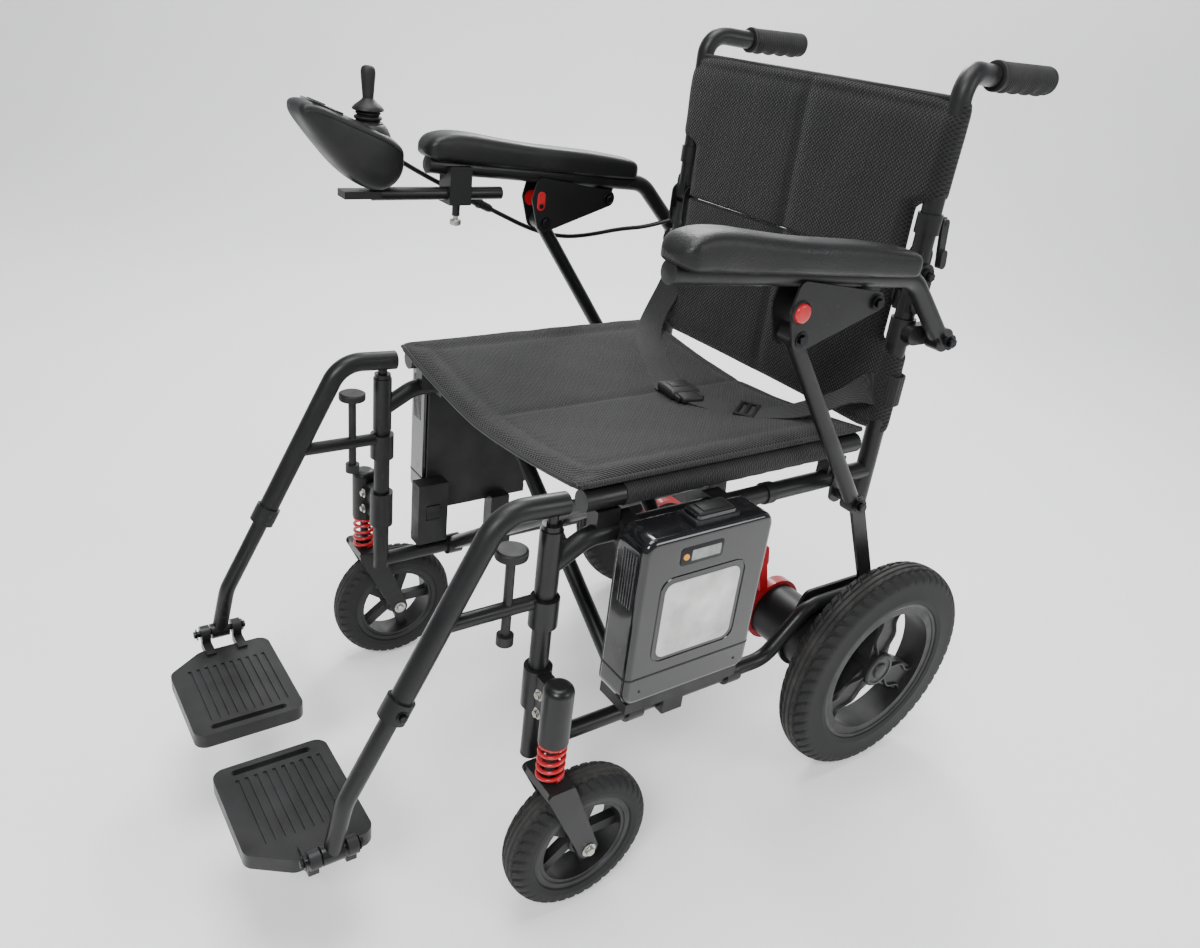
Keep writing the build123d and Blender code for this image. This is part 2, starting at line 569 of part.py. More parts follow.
left_battery_dock = make_dock(False)
write(left_battery_dock, "left_battery_dock")
with BuildPart() as right_battery_dock:
    mirror(make_dock(True).part, about=Plane.YZ)
write(right_battery_dock, "right_battery_dock")

with BuildPart() as power_switch:
    with BuildSketch(Plane((0, -129.5, 0), x_dir=(1, 0, 0), z_dir=(0, 1, 0))) as rocker:
        with BuildLine():
            Polyline((-(SIDE_X - 7.6), -252), (-(SIDE_X - 11), -251.5), (-(SIDE_X - 9.8), -262),
                     (-(SIDE_X - 11), -272.5), (-(SIDE_X - 7.6), -272), (-(SIDE_X - 5.7), -262),
                     (-(SIDE_X - 7.6), -252))
        make_face()
    extrude(rocker.sketch, amount=20)
    pin_y(-(SIDE_X - 7.5), 262, -131, -108, 1.5 + RUN, Mode.SUBTRACT)
write(power_switch, "power_switch")


# ---- seat, belt and back upholstery -------------------------------------------------
def seat_layer(low, high, y0, y1):
    """Sagging sheet over the rails, between two heights above the seat's underside."""
    half = RAIL_X + 8
    with BuildSketch(Plane((0, y1, 0), x_dir=(1, 0, 0), z_dir=(0, -1, 0))) as section:
        with BuildLine():
            ThreePointArc((-half, SEAT_EDGE + low), (0, SEAT_EDGE - SEAT_SAG + low), (half, SEAT_EDGE + low))
            Line((half, SEAT_EDGE + low), (half, SEAT_EDGE + high))
            ThreePointArc((half, SEAT_EDGE + high), (0, SEAT_EDGE - SEAT_SAG + high), (-half, SEAT_EDGE + high))
            Line((-half, SEAT_EDGE + high), (-half, SEAT_EDGE + low))
        make_face()
    extrude(section.sketch, amount=y1 - y0)


with BuildPart() as seat_cushion:
    seat_layer(0, SEAT_THICK, SEAT_FRONT, SEAT_REAR)
    pin_y(RAIL_X, RAIL_Z, RAIL_FRONT - 20, SEAT_REAR + 20, RAIL_R + CLEAR, Mode.SUBTRACT)
    pin_y(-RAIL_X, RAIL_Z, RAIL_FRONT - 20, SEAT_REAR + 20, RAIL_R + CLEAR, Mode.SUBTRACT)
write(seat_cushion, "seat_cushion")

STRAP = 38.0
with BuildPart() as belt_plan:
    with BuildSketch(Plane.XY.offset(400)) as straps:
        with BuildLine() as right_strap:
            Polyline((-206, 182), (-120, 150), (30, 96))
        trace(right_strap.line, line_width=STRAP)
        with BuildLine() as left_strap:
            Polyline((206, 214), (110, 150), (36, 98))
        trace(left_strap.line, line_width=STRAP)
    extrude(straps.sketch, amount=300)
with BuildPart() as lap_belt:
    seat_layer(SEAT_THICK + CLEAR, SEAT_THICK + 3, 40, 236)
    add(belt_plan.part, mode=Mode.INTERSECT)
    buckle_z = SEAT_EDGE - SEAT_SAG + SEAT_THICK
    with BuildSketch(Plane.XY.offset(buckle_z + 3)) as buckle:
        with Locations((34, 97)):
            RectangleRounded(62, 44, 9, rotation=-22)
    extrude(buckle.sketch, amount=13)
write(lap_belt, "lap_belt")

PANEL_HALF = SIDE_X - BACK_R - 6


def sleeves(z0, z1):
    """Fabric sleeves round both back posts, tied to the panel between them."""
    for x in (-SIDE_X, SIDE_X):
        pin_z(x, BACK_Y, z0, z1, SLEEVE_R)
    block((-SIDE_X, SIDE_X), (BACK_Y - SLING / 2, BACK_Y + SLING / 2), (z0, z1))
    for x in (-SIDE_X, SIDE_X):
        pin_z(x, BACK_Y, z0 - 1, z1 + 1, BACK_R + CLEAR, Mode.SUBTRACT)


with BuildPart() as back_upholstery_upper:
    sleeves(776, BACK_TOP)
    block((-PANEL_HALF + 5, PANEL_HALF - 5), (BACK_Y - SLING / 2, BACK_Y + SLING / 2), (HINGE_Z, 777))
    with BuildSketch(Plane((-PANEL_HALF + 5, BACK_Y, HINGE_Z), x_dir=(0, 1, 0), z_dir=(1, 0, 0))) as roll:
        Circle(SLING / 2)
    extrude(roll.sketch, amount=2 * PANEL_HALF - 10)
write(back_upholstery_upper, "back_upholstery_upper")

with BuildPart() as back_upholstery_lower:
    sleeves(BACK_BOTTOM, 614)
    block((-PANEL_HALF + 5, PANEL_HALF - 5), (BACK_Y - SLING / 2, BACK_Y + SLING / 2),
          (613, HINGE_Z - SLING / 2 - CLEAR))
write(back_upholstery_lower, "back_upholstery_lower")


# ---- controller ---------------------------------------------------------------------
with BuildPart() as joystick_housing:
    with BuildSketch(across(STICK_X - 32)) as shell:
        with BuildLine():
            Polyline((-288, 790), (-268, 803), (-172, 762), (-162, 744), (-170, 728),
                     (-206, 704), (-236, 704), (-262, 726), (-288, 776), (-288, 790))
        make_face()
        fillet(shell.vertices(), radius=5)
    extrude(shell.sketch, amount=64)
    fillet(joystick_housing.faces().sort_by(Axis.X)[0].edges(), radius=4)
    fillet(joystick_housing.faces().sort_by(Axis.X)[-1].edges(), radius=4)
    # cup that the boot turns in
    with Locations((STICK_X, STICK_Y, 776)):
        Sphere(17, mode=Mode.SUBTRACT)
write(joystick_housing, "joystick_housing")

with BuildPart() as joystick_boot:
    with Locations((STICK_X, STICK_Y, 776)):
        Sphere(16.6)
    pin_z(STICK_X, STICK_Y, 786, 800, 8)
    pin_z(STICK_X, STICK_Y, 770, 802, 4, Mode.SUBTRACT)
    block((STICK_X - 20, STICK_X + 20), (STICK_Y - 20, STICK_Y + 20), (750, 768), Mode.SUBTRACT)
write(joystick_boot, "joystick_boot")

with BuildPart() as joystick_stick:
    pin_z(STICK_X, STICK_Y, 788, 812, 3)
    with BuildSketch(wheel_plane(STICK_X, STICK_Y, 0)) as knob:
        with BuildLine():
            Polyline((0, 804), (7, 804), (9, 812), (12.5, 830), (12.5, 838), (9, 842),
                     (0, 842), (0, 804))
        make_face()
    revolve(knob.sketch, axis=Axis((STICK_X, STICK_Y, 0), (0, 0, 1)))
write(joystick_stick, "joystick_stick")

CLAMP_Y = (-100.0, -70.0)
with BuildPart() as joystick_arm:
    pin_y(STICK_X, STICK_ARM_Z, -198, -22, STICK_ARM_R)
    block((STICK_X - 12, STICK_X + 12), (-236, -190), (695, 704 - CLEAR))
write(joystick_arm, "joystick_arm")

# the clamp under the right arm rest belongs to the arm-rest tube
with BuildPart() as right_armrest_tube:
    mirror(armrest_tube.part, about=Plane.YZ)
    block((-ARM_X - 12, STICK_X + 12), CLAMP_Y, (STICK_ARM_Z - 13, 733))
    pin_y(STICK_X, STICK_ARM_Z, CLAMP_Y[0] - 2, CLAMP_Y[1] + 2, STICK_ARM_R + RUN, Mode.SUBTRACT)
    pin_z(STICK_X, -85, STICK_ARM_Z - 28, STICK_ARM_Z - 12, 5)
write(right_armrest_tube, "right_armrest_tube")

CABLE_R = 3.5
CABLE = [(-262, -160, 738), (-276, -118, 716), (-280, -60, 690), (-279, -2, 664), (-276, 52, 640),
         (-275, 104, 628), (-274, 152, 630), (-264, 196, 640), (-247, 236, 646), (-228.4, 262, 660)]


def corner_radii(points):
    """Each arc is as large as its two runs allow."""
    radii = []
    for before, here, after in zip(points, points[1:], points[2:]):
        first = Vector(*here) - Vector(*before)
        second = Vector(*after) - Vector(*here)
        turn = radians(first.get_angle(second))
        radii.append(0.45 * min(first.length, second.length) / tan(turn / 2))
    return radii


cable_radii = corner_radii(CABLE)
print("cable radii", [round(radius) for radius in cable_radii])
with BuildPart() as joystick_cable:
    bar(CABLE, CABLE_R, cable_radii)
write(joystick_cable, "joystick_cable")
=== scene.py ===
import json
import bpy
import bmesh
from math import atan, copysign, cos, exp, pi, radians, sin, sqrt, tan
from mathutils import Matrix, Vector


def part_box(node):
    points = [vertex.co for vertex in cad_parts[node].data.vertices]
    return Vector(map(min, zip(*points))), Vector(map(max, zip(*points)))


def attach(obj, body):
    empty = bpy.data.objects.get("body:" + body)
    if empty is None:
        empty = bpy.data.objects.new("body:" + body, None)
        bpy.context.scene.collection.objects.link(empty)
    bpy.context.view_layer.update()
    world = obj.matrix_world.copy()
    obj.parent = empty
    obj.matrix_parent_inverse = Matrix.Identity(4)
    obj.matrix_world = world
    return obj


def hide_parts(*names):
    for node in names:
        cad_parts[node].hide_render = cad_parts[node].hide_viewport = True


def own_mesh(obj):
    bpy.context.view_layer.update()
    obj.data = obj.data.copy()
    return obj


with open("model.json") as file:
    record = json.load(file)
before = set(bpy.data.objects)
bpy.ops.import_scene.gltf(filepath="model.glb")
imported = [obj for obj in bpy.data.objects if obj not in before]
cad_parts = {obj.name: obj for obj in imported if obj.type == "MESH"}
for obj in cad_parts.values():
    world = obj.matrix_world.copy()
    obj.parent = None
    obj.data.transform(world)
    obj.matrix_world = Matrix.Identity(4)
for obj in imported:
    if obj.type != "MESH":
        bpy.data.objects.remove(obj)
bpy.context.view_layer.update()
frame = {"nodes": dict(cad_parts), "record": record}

NODES = frame["nodes"]
SIDES = {"left": 1, "right": -1}
MM = 0.001
CREASE = radians(38)  # edges that turn more than this stay sharp
FACES = {"outer": 1, "inner": -1}
VIEW_YAW, VIEW_PITCH, VIEW_ROLL = radians(52.8), radians(26.2), radians(7.05)
VIEW_FROM = (0.8795, -0.6516, 0.9362)
VIEW_LENS = 28.63


def middle(node):
    low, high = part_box(node)
    return (Vector(low) + Vector(high)) / 2


# ---- node helpers for the materials ---------------------------------------------------
def start_material(name, colour, roughness, metallic=0.0, specular=0.34):
    """New material with its plain values set on the shader's own sockets."""
    material = bpy.data.materials.new(name)
    material.use_nodes = True
    tree = material.node_tree
    shader = tree.nodes["Principled BSDF"]
    shader.inputs["Base Color"].default_value = (*colour, 1)
    shader.inputs["Roughness"].default_value = roughness
    shader.inputs["Metallic"].default_value = metallic
    shader.inputs["Specular IOR Level"].default_value = 0.5 if metallic else specular
    return material, tree, shader


def object_coords(tree):
    return tree.nodes.new("ShaderNodeTexCoord").outputs["Object"]


def noise(tree, scale, detail=3.0):
    node = tree.nodes.new("ShaderNodeTexNoise")
    node.inputs["Scale"].default_value = scale
    node.inputs["Detail"].default_value = detail
    tree.links.new(object_coords(tree), node.inputs["Vector"])
    return node.outputs["Fac"]


def ramp(tree, value, low, high, dark, light):
    """Colour from dark to light as value goes from low to high."""
    node = tree.nodes.new("ShaderNodeValToRGB")
    node.color_ramp.elements[0].position = low
    node.color_ramp.elements[1].position = high
    node.color_ramp.elements[0].color = (*dark, 1)
    node.color_ramp.elements[1].color = (*light, 1)
    tree.links.new(value, node.inputs["Fac"])
    return node.outputs["Color"]


def grey(tree, value, low, high, dark, light):
    return ramp(tree, value, low, high, (dark,) * 3, (light,) * 3)


def maths(tree, operation, first, second=None):
    node = tree.nodes.new("ShaderNodeMath")
    node.operation = operation
    for socket, value in zip(node.inputs, (first, second)):
        if value is None:
            continue
        if isinstance(value, (int, float)):
            socket.default_value = value
        else:
            tree.links.new(value, socket)
    return node.outputs[0]


def axes(tree):
    node = tree.nodes.new("ShaderNodeSeparateXYZ")
    tree.links.new(object_coords(tree), node.inputs[0])
    return node.outputs


def bump(tree, shader, heights, last=None):
    """Chain of bumps, each given as (height, strength, distance in metres)."""
    for height, strength, distance in heights:
        node = tree.nodes.new("ShaderNodeBump")
        node.inputs["Strength"].default_value = strength
        node.inputs["Distance"].default_value = distance
        tree.links.new(height, node.inputs["Height"])
        if last is not None:
            tree.links.new(last, node.inputs["Normal"])
        last = node.outputs["Normal"]
    tree.links.new(last, shader.inputs["Normal"])


def powder_coat(name, tone=0.022, roughness=0.36):
    """Satin black powder coat: fine orange peel, handling smears and a few pale scuffs."""
    material, tree, shader = start_material(name, (tone,) * 3, roughness)
    smear = noise(tree, 14, 5)
    scuff = noise(tree, 160, 2)
    worn = maths(tree, "MULTIPLY", grey(tree, smear, 0.52, 0.72, 0, 1), grey(tree, scuff, 0.6, 0.72, 0, 1))
    tint = ramp(tree, worn, 0.0, 1.0, (tone, tone, tone * 1.06), (tone * 3.4, tone * 3.3, tone * 3.2))
    tree.links.new(tint, shader.inputs["Base Color"])
    tree.links.new(grey(tree, smear, 0.3, 0.75, roughness - 0.08, roughness + 0.14),
                   shader.inputs["Roughness"])
    bump(tree, shader, [(noise(tree, 700, 2), 0.16, 0.0004), (noise(tree, 60, 2), 0.05, 0.001)])
    return material


def moulded_plastic(name, colour, roughness=0.5, grain=0.22):
    material, tree, shader = start_material(name, colour, roughness)
    pale = tuple(min(1.0, channel * 1.7 + 0.006) for channel in colour)
    tree.links.new(ramp(tree, noise(tree, 22, 4), 0.35, 0.75, colour, pale), shader.inputs["Base Color"])
    tree.links.new(grey(tree, noise(tree, 40, 3), 0.3, 0.7, roughness - 0.06, roughness + 0.1),
                   shader.inputs["Roughness"])
    bump(tree, shader, [(noise(tree, 1500, 1), grain, 0.0003)])
    return material


def gloss_case(name):
    """Glossy battery case: clear coat over black, with dust."""
    material, tree, shader = start_material(name, (0.007, 0.007, 0.008), 0.16)
    shader.inputs["Coat Weight"].default_value = 0.6
    shader.inputs["Coat Roughness"].default_value = 0.06
    tree.links.new(grey(tree, noise(tree, 30, 6), 0.45, 0.8, 0.13, 0.34), shader.inputs["Roughness"])
    dust = noise(tree, 90, 6)
    tree.links.new(ramp(tree, dust, 0.55, 0.85, (0.007, 0.007, 0.008), (0.024, 0.0235, 0.023)),
                   shader.inputs["Base Color"])
    bump(tree, shader, [(noise(tree, 35, 2), 0.04, 0.0006)])
    return material


def tyre_rubber(name, plane_x):
    """Moulded rubber, dustier over the crown of the tread than on its walls."""
    material, tree, shader = start_material(name, (0.013, 0.013, 0.0135), 0.7)
    x, y, z = axes(tree)
    across = maths(tree, "ABSOLUTE", maths(tree, "SUBTRACT", maths(tree, "ABSOLUTE", x), plane_x))
    dust = maths(tree, "MULTIPLY", grey(tree, across, 0.004, 0.02, 1, 0.1), noise(tree, 26, 6))
    tint = ramp(tree, dust, 0.25, 0.8, (0.012, 0.012, 0.0125), (0.05, 0.048, 0.045))
    tree.links.new(tint, shader.inputs["Base Color"])
    bump(tree, shader, [(noise(tree, 900, 2), 0.25, 0.0004)])
    return material


def spacer_mesh(name, flat, pitch, tone=0.02, yarn_gain=2.2):
    """Knitted spacer mesh: rows of small diamond holes between crossing yarns, with painted shade in the
    holes.
    """
    material, tree, shader = start_material(name, (tone,) * 3, 0.85)
    shader.inputs["Sheen Weight"].default_value = 0.12
    shader.inputs["Sheen Roughness"].default_value = 0.45
    parts = axes(tree)
    u, v = parts[flat[0]], parts[flat[1]]
    k = pi / pitch
    plus = maths(tree, "SINE", maths(tree, "MULTIPLY", maths(tree, "ADD", u, v), k))
    minus = maths(tree, "SINE", maths(tree, "MULTIPLY", maths(tree, "SUBTRACT", u, v), k))
    hole = maths(tree, "MULTIPLY", plus, minus)
    cell = maths(tree, "ABSOLUTE", hole)
    yarn = maths(tree, "SINE", maths(tree, "MULTIPLY", u, k * 5))
    cloud = noise(tree, 9, 5)
    # painted shade: the diamond holes are darkened to 0.3 of the tone, and the yarns between them are lighter
    yarn_and_hole_shade = ramp(tree, cell, 0.08, 0.7, (tone * yarn_gain,) * 3, (tone * 0.3,) * 3)
    fade = ramp(tree, cloud, 0.3, 0.75, (0.8, 0.8, 0.82), (1.25, 1.23, 1.2))
    mix = tree.nodes.new("ShaderNodeMix")
    mix.data_type = "RGBA"
    mix.blend_type = "MULTIPLY"
    mix.inputs["Factor"].default_value = 1.0
    tree.links.new(yarn_and_hole_shade, mix.inputs["A"])
    tree.links.new(fade, mix.inputs["B"])
    tree.links.new(mix.outputs["Result"], shader.inputs["Base Color"])
    bump(tree, shader, [(grey(tree, cell, 0.05, 0.8, 1, 0), 0.8, 0.0011), (yarn, 0.15, 0.0004)])
    return material


def webbing(name, turn, tone=0.018):
    """Woven strap: ribs along a direction in the seat's plane, and a twill across them."""
    material, tree, shader = start_material(name, (tone,) * 3, 0.7)
    shader.inputs["Sheen Weight"].default_value = 0.1
    x, y, z = axes(tree)
    along = maths(tree, "ADD", maths(tree, "MULTIPLY", x, cos(turn)), maths(tree, "MULTIPLY", y, sin(turn)))
    side = maths(tree, "SUBTRACT", maths(tree, "MULTIPLY", y, cos(turn)),
                 maths(tree, "MULTIPLY", x, sin(turn)))
    rib = maths(tree, "SINE", maths(tree, "MULTIPLY", side, 1900.0))
    twill = maths(tree, "SINE", maths(tree, "MULTIPLY", maths(tree, "ADD", along, side), 2600.0))
    tree.links.new(ramp(tree, twill, 0.2, 0.9, (tone * 0.6,) * 3, (tone * 2.1,) * 3),
                   shader.inputs["Base Color"])
    bump(tree, shader, [(rib, 0.5, 0.0006), (twill, 0.4, 0.0004)])
    return material


def grained_vinyl(name):
    """Polyurethane foam skin of the arm pads: leather grain under a soft sheen."""
    material, tree, shader = start_material(name, (0.008, 0.008, 0.0085), 0.42)
    cells = tree.nodes.new("ShaderNodeTexVoronoi")
    cells.inputs["Scale"].default_value = 520
    tree.links.new(object_coords(tree), cells.inputs["Vector"])
    tree.links.new(grey(tree, noise(tree, 18, 4), 0.3, 0.75, 0.34, 0.52), shader.inputs["Roughness"])
    tree.links.new(ramp(tree, noise(tree, 12, 5), 0.35, 0.8, (0.006, 0.006, 0.0064), (0.014, 0.014, 0.0145)),
                   shader.inputs["Base Color"])
    bump(tree, shader, [(cells.outputs["Distance"], 0.35, 0.0006), (noise(tree, 50, 2), 0.06, 0.001)])
    return material


def soft_rubber(name, tone=0.016, roughness=0.6):
    material, tree, shader = start_material(name, (tone,) * 3, roughness)
    tree.links.new(grey(tree, noise(tree, 30, 5), 0.3, 0.8, tone * 0.8, tone * 2.2),
                   shader.inputs["Base Color"])
    bump(tree, shader, [(noise(tree, 1100, 2), 0.3, 0.0004)])
    return material


def red_finish(name, roughness=0.3):
    material, tree, shader = start_material(name, (0.5, 0.012, 0.018), roughness)
    shader.inputs["Coat Weight"].default_value = 0.3
    tree.links.new(ramp(tree, noise(tree, 40, 4), 0.3, 0.8, (0.42, 0.008, 0.014), (0.6, 0.018, 0.026)),
                   shader.inputs["Base Color"])
    bump(tree, shader, [(noise(tree, 500, 2), 0.1, 0.0004)])
    return material


def zinc(name, colour=(0.55, 0.54, 0.5), roughness=0.34):
    """Plated fastener, with dull patches."""
    material, tree, shader = start_material(name, colour, roughness, 1.0)
    tree.links.new(grey(tree, noise(tree, 260, 5), 0.3, 0.8, roughness - 0.08, roughness + 0.2),
                   shader.inputs["Roughness"])
    tree.links.new(ramp(tree, noise(tree, 90, 4), 0.3, 0.8, tuple(c * 0.75 for c in colour), colour),
                   shader.inputs["Base Color"])
    bump(tree, shader, [(noise(tree, 1300, 1), 0.12, 0.0002)])
    return material


def display_glass(name):
    material, tree, shader = start_material(name, (0.2, 0.23, 0.21), 0.12)
    shader.inputs["Coat Weight"].default_value = 0.7
    tree.links.new(ramp(tree, noise(tree, 60, 3), 0.35, 0.7, (0.16, 0.18, 0.17), (0.26, 0.29, 0.27)),
                   shader.inputs["Base Color"])
    return material


REAR_PLANE = abs(middle("left_rear_tyre").x)
CASTOR_PLANE = abs(middle("left_castor_tyre").x)
FRAME_BLACK = powder_coat("frame_powder_coat", 0.0085)
LEG_BLACK = powder_coat("leg_tube_enamel", 0.01, 0.29)
MOTOR_BLACK = powder_coat("motor_enamel", 0.007, 0.42)
RIM_BLACK = moulded_plastic("rim_nylon", (0.009, 0.009, 0.0095), 0.44)
MOULDED = moulded_plastic("moulded_abs", (0.008, 0.008, 0.0085), 0.46)
FOOT_BLACK = moulded_plastic("footplate_nylon", (0.009, 0.009, 0.0095), 0.4, 0.35)
CASE_GLOSS = gloss_case("battery_gloss")
TYRE_REAR = tyre_rubber("rear_tyre_rubber", REAR_PLANE)
TYRE_FRONT = tyre_rubber("castor_tyre_rubber", CASTOR_PLANE)
SEAT_CLOTH = spacer_mesh("seat_spacer_mesh", (0, 1), 0.0046, 0.0062)
BACK_CLOTH = spacer_mesh("back_spacer_mesh", (0, 2), 0.0052, 0.0068)
HEM_CLOTH = webbing("hem_tape", 0.0, 0.008)
STRAP_RIGHT = webbing("belt_webbing_right", -0.33, 0.008)
STRAP_LEFT = webbing("belt_webbing_left", 0.75, 0.008)
VINYL = grained_vinyl("arm_pad_vinyl")
GRIP_RUBBER = soft_rubber("grip_rubber", 0.009)
BOOT_RUBBER = soft_rubber("boot_rubber", 0.007, 0.5)
CABLE_PVC = soft_rubber("cable_pvc", 0.007, 0.38)
RED_STEEL = red_finish("spring_red", 0.24)
RED_PLASTIC = red_finish("lever_red", 0.38)
ZINC = zinc("zinc_plate")
BLACK_BOLT = zinc("black_oxide", (0.035, 0.035, 0.038), 0.36)
LCD = display_glass("grey_display")
LABEL = moulded_plastic("plain_label", (0.5, 0.5, 0.49), 0.34, 0.05)
AMBER = moulded_plastic("amber_button", (0.75, 0.3, 0.03), 0.3, 0.05)

SLOT_MATERIAL = {
    "frame_black": FRAME_BLACK, "motor_black": MOTOR_BLACK, "leg_tube_black": LEG_BLACK,
    "rim_plastic": RIM_BLACK, "tyre_rubber": TYRE_REAR, "red_steel": RED_STEEL,
    "red_plastic": RED_PLASTIC, "pad_vinyl": VINYL, "grip_rubber": GRIP_RUBBER,
    "moulded_black": MOULDED, "foot_plastic": FOOT_BLACK, "battery_gloss": CASE_GLOSS,
    "seat_fabric": SEAT_CLOTH, "back_fabric": BACK_CLOTH, "belt_webbing": STRAP_RIGHT,
    "boot_rubber": BOOT_RUBBER,
}
for part in frame["record"]["subparts"]:
    for material_slot in NODES[part["node"]].material_slots:
        material_slot.material = SLOT_MATERIAL[part["material_slot"]]


# ---- mesh helpers -----------------------------------------------------------------------
def add_object(name, data):
    thing = bpy.data.objects.new(name, data)
    bpy.context.scene.collection.objects.link(thing)
    return thing


def smooth_faces(mesh):
    for face in mesh.polygons:
        face.use_smooth = True


def join_rings(bm, rings, closed=False):
    """Faces from each ring of points to the next, and from the last to the first if closed."""
    for a, b in zip(rings, rings[1:] + rings[:1] if closed else rings[1:]):
        for i in range(len(a)):
            j = (i + 1) % len(a)
            bm.faces.new((a[i], a[j], b[j], b[i]))


def cap_ends(bm, rings):
    bm.faces.new(rings[0][::-1])
    bm.faces.new(rings[-1])


def finish_piece(name, bm, body, material, smooth=True, replaces=(), recalc=True):
    """Turns a bmesh into a piece that rides on a body."""
    if recalc:
        bmesh.ops.remove_doubles(bm, verts=bm.verts, dist=1e-6)
        bmesh.ops.recalc_face_normals(bm, faces=bm.faces)
    mesh = bpy.data.meshes.new(name)
    bm.to_mesh(mesh)
    bm.free()
    piece = add_object(name, mesh)
    mesh.materials.append(material)
    if smooth:
        smooth_faces(mesh)
        mesh.set_sharp_from_angle(angle=CREASE)
    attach(piece, body)
    if replaces:
        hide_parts(*replaces)
    return piece


def shade_smooth(piece, material):
    piece.data.materials.clear()
    piece.data.materials.append(material)
    smooth_faces(piece.data)


def apply_modifiers(piece):
    bpy.context.view_layer.update()
    evaluated = piece.evaluated_get(bpy.context.evaluated_depsgraph_get())
    mesh = bpy.data.meshes.new_from_object(evaluated)
    piece.modifiers.clear()
    piece.data = mesh


def rounded_box(bm, low, high, radius, segments=3):
    """Adds a box with rounded edges to bm."""
    low, high = Vector(low), Vector(high)
    size, centre = high - low, (low + high) / 2
    place = Matrix.Translation(centre) @ Matrix.Diagonal((*[abs(v) for v in size], 1))
    made = bmesh.ops.create_cube(bm, size=1, matrix=place)
    edges = {edge for vert in made["verts"] for edge in vert.link_edges}
    if radius > 0:
        bmesh.ops.bevel(bm, geom=list(edges), offset=radius, segments=segments, profile=0.5,
                        affect="EDGES", material=-1)


def spun(bm, outline, centre, axis, steps, closed=True, upright=None):
    """Spins an outline of (along axis, radius) points in millimetres a full turn about an axis line."""
    axis, centre = Vector(axis), Vector(centre)
    out = Vector(upright) if upright else Vector((0, 0, 1))
    verts = [bm.verts.new(centre + axis * (a * MM) + out * (r * MM)) for a, r in outline]
    edges = [bm.edges.new(pair) for pair in zip(verts, verts[1:])]
    if closed:
        edges.append(bm.edges.new((verts[-1], verts[0])))
    bmesh.ops.spin(bm, geom=verts + edges, cent=centre, axis=axis, dvec=(0, 0, 0),
                   angle=2 * pi, steps=steps, use_merge=True)


def turned(name, outline, centre, axis, body, material, steps=48, closed=True,
           upright=None, replaces=()):
    bm = bmesh.new()
    spun(bm, outline, centre, axis, steps, closed, upright)
    return finish_piece(name, bm, body, material, replaces=replaces)


def add_bolt(bm, at, axis, radius, height, sides=6):
    """Bolt head on a washer, standing out along axis."""
    axis = Vector(axis).normalized()
    turn = axis.to_track_quat("Z", "Y").to_matrix().to_4x4()
    for r, h, lift, count in ((radius * 1.55, height * 0.28, 0.0, 20),
                              (radius, height, height * 0.28, sides)):
        place = Matrix.Translation(Vector(at) + axis * (lift + h / 2)) @ turn
        made = bmesh.ops.create_cone(bm, cap_ends=True, segments=count, radius1=r, radius2=r, depth=h,
                                     matrix=place)
        rim = [e for v in made["verts"] for e in v.link_edges]
        bmesh.ops.bevel(bm, geom=list(set(rim)), offset=min(r, h) * 0.14, segments=1, profile=0.5,
                        affect="EDGES", material=-1)


def bolts(name, places, body, material=None):
    """One piece for the bolts of a body, each given as (at, axis, radius, height in millimetres)."""
    bm = bmesh.new()
    for at, axis, radius, height in places:
        add_bolt(bm, at, axis, radius * MM, height * MM)
    return finish_piece(name, bm, body, material or BLACK_BOLT, smooth=False)


# ---- camera, floor and light ------------------------------------------------------------
def look():
    """Camera at the chair's left front, above the arm rests."""
    ahead = Vector((-sin(VIEW_YAW) * cos(VIEW_PITCH), cos(VIEW_YAW) * cos(VIEW_PITCH), -sin(VIEW_PITCH)))
    right = Vector((cos(VIEW_YAW), sin(VIEW_YAW), 0))
    up = right.cross(ahead)
    tilted_right = right * cos(VIEW_ROLL) + up * sin(VIEW_ROLL)
    tilted_up = up * cos(VIEW_ROLL) - right * sin(VIEW_ROLL)
    data = bpy.data.cameras.new("view")
    data.lens, data.sensor_width = VIEW_LENS, 36
    data.clip_start = 0.05
    camera = add_object("view", data)
    turn = Matrix((tilted_right, tilted_up, -ahead)).transposed().to_4x4()
    camera.matrix_world = Matrix.Translation(VIEW_FROM) @ turn
    bpy.context.scene.camera = camera


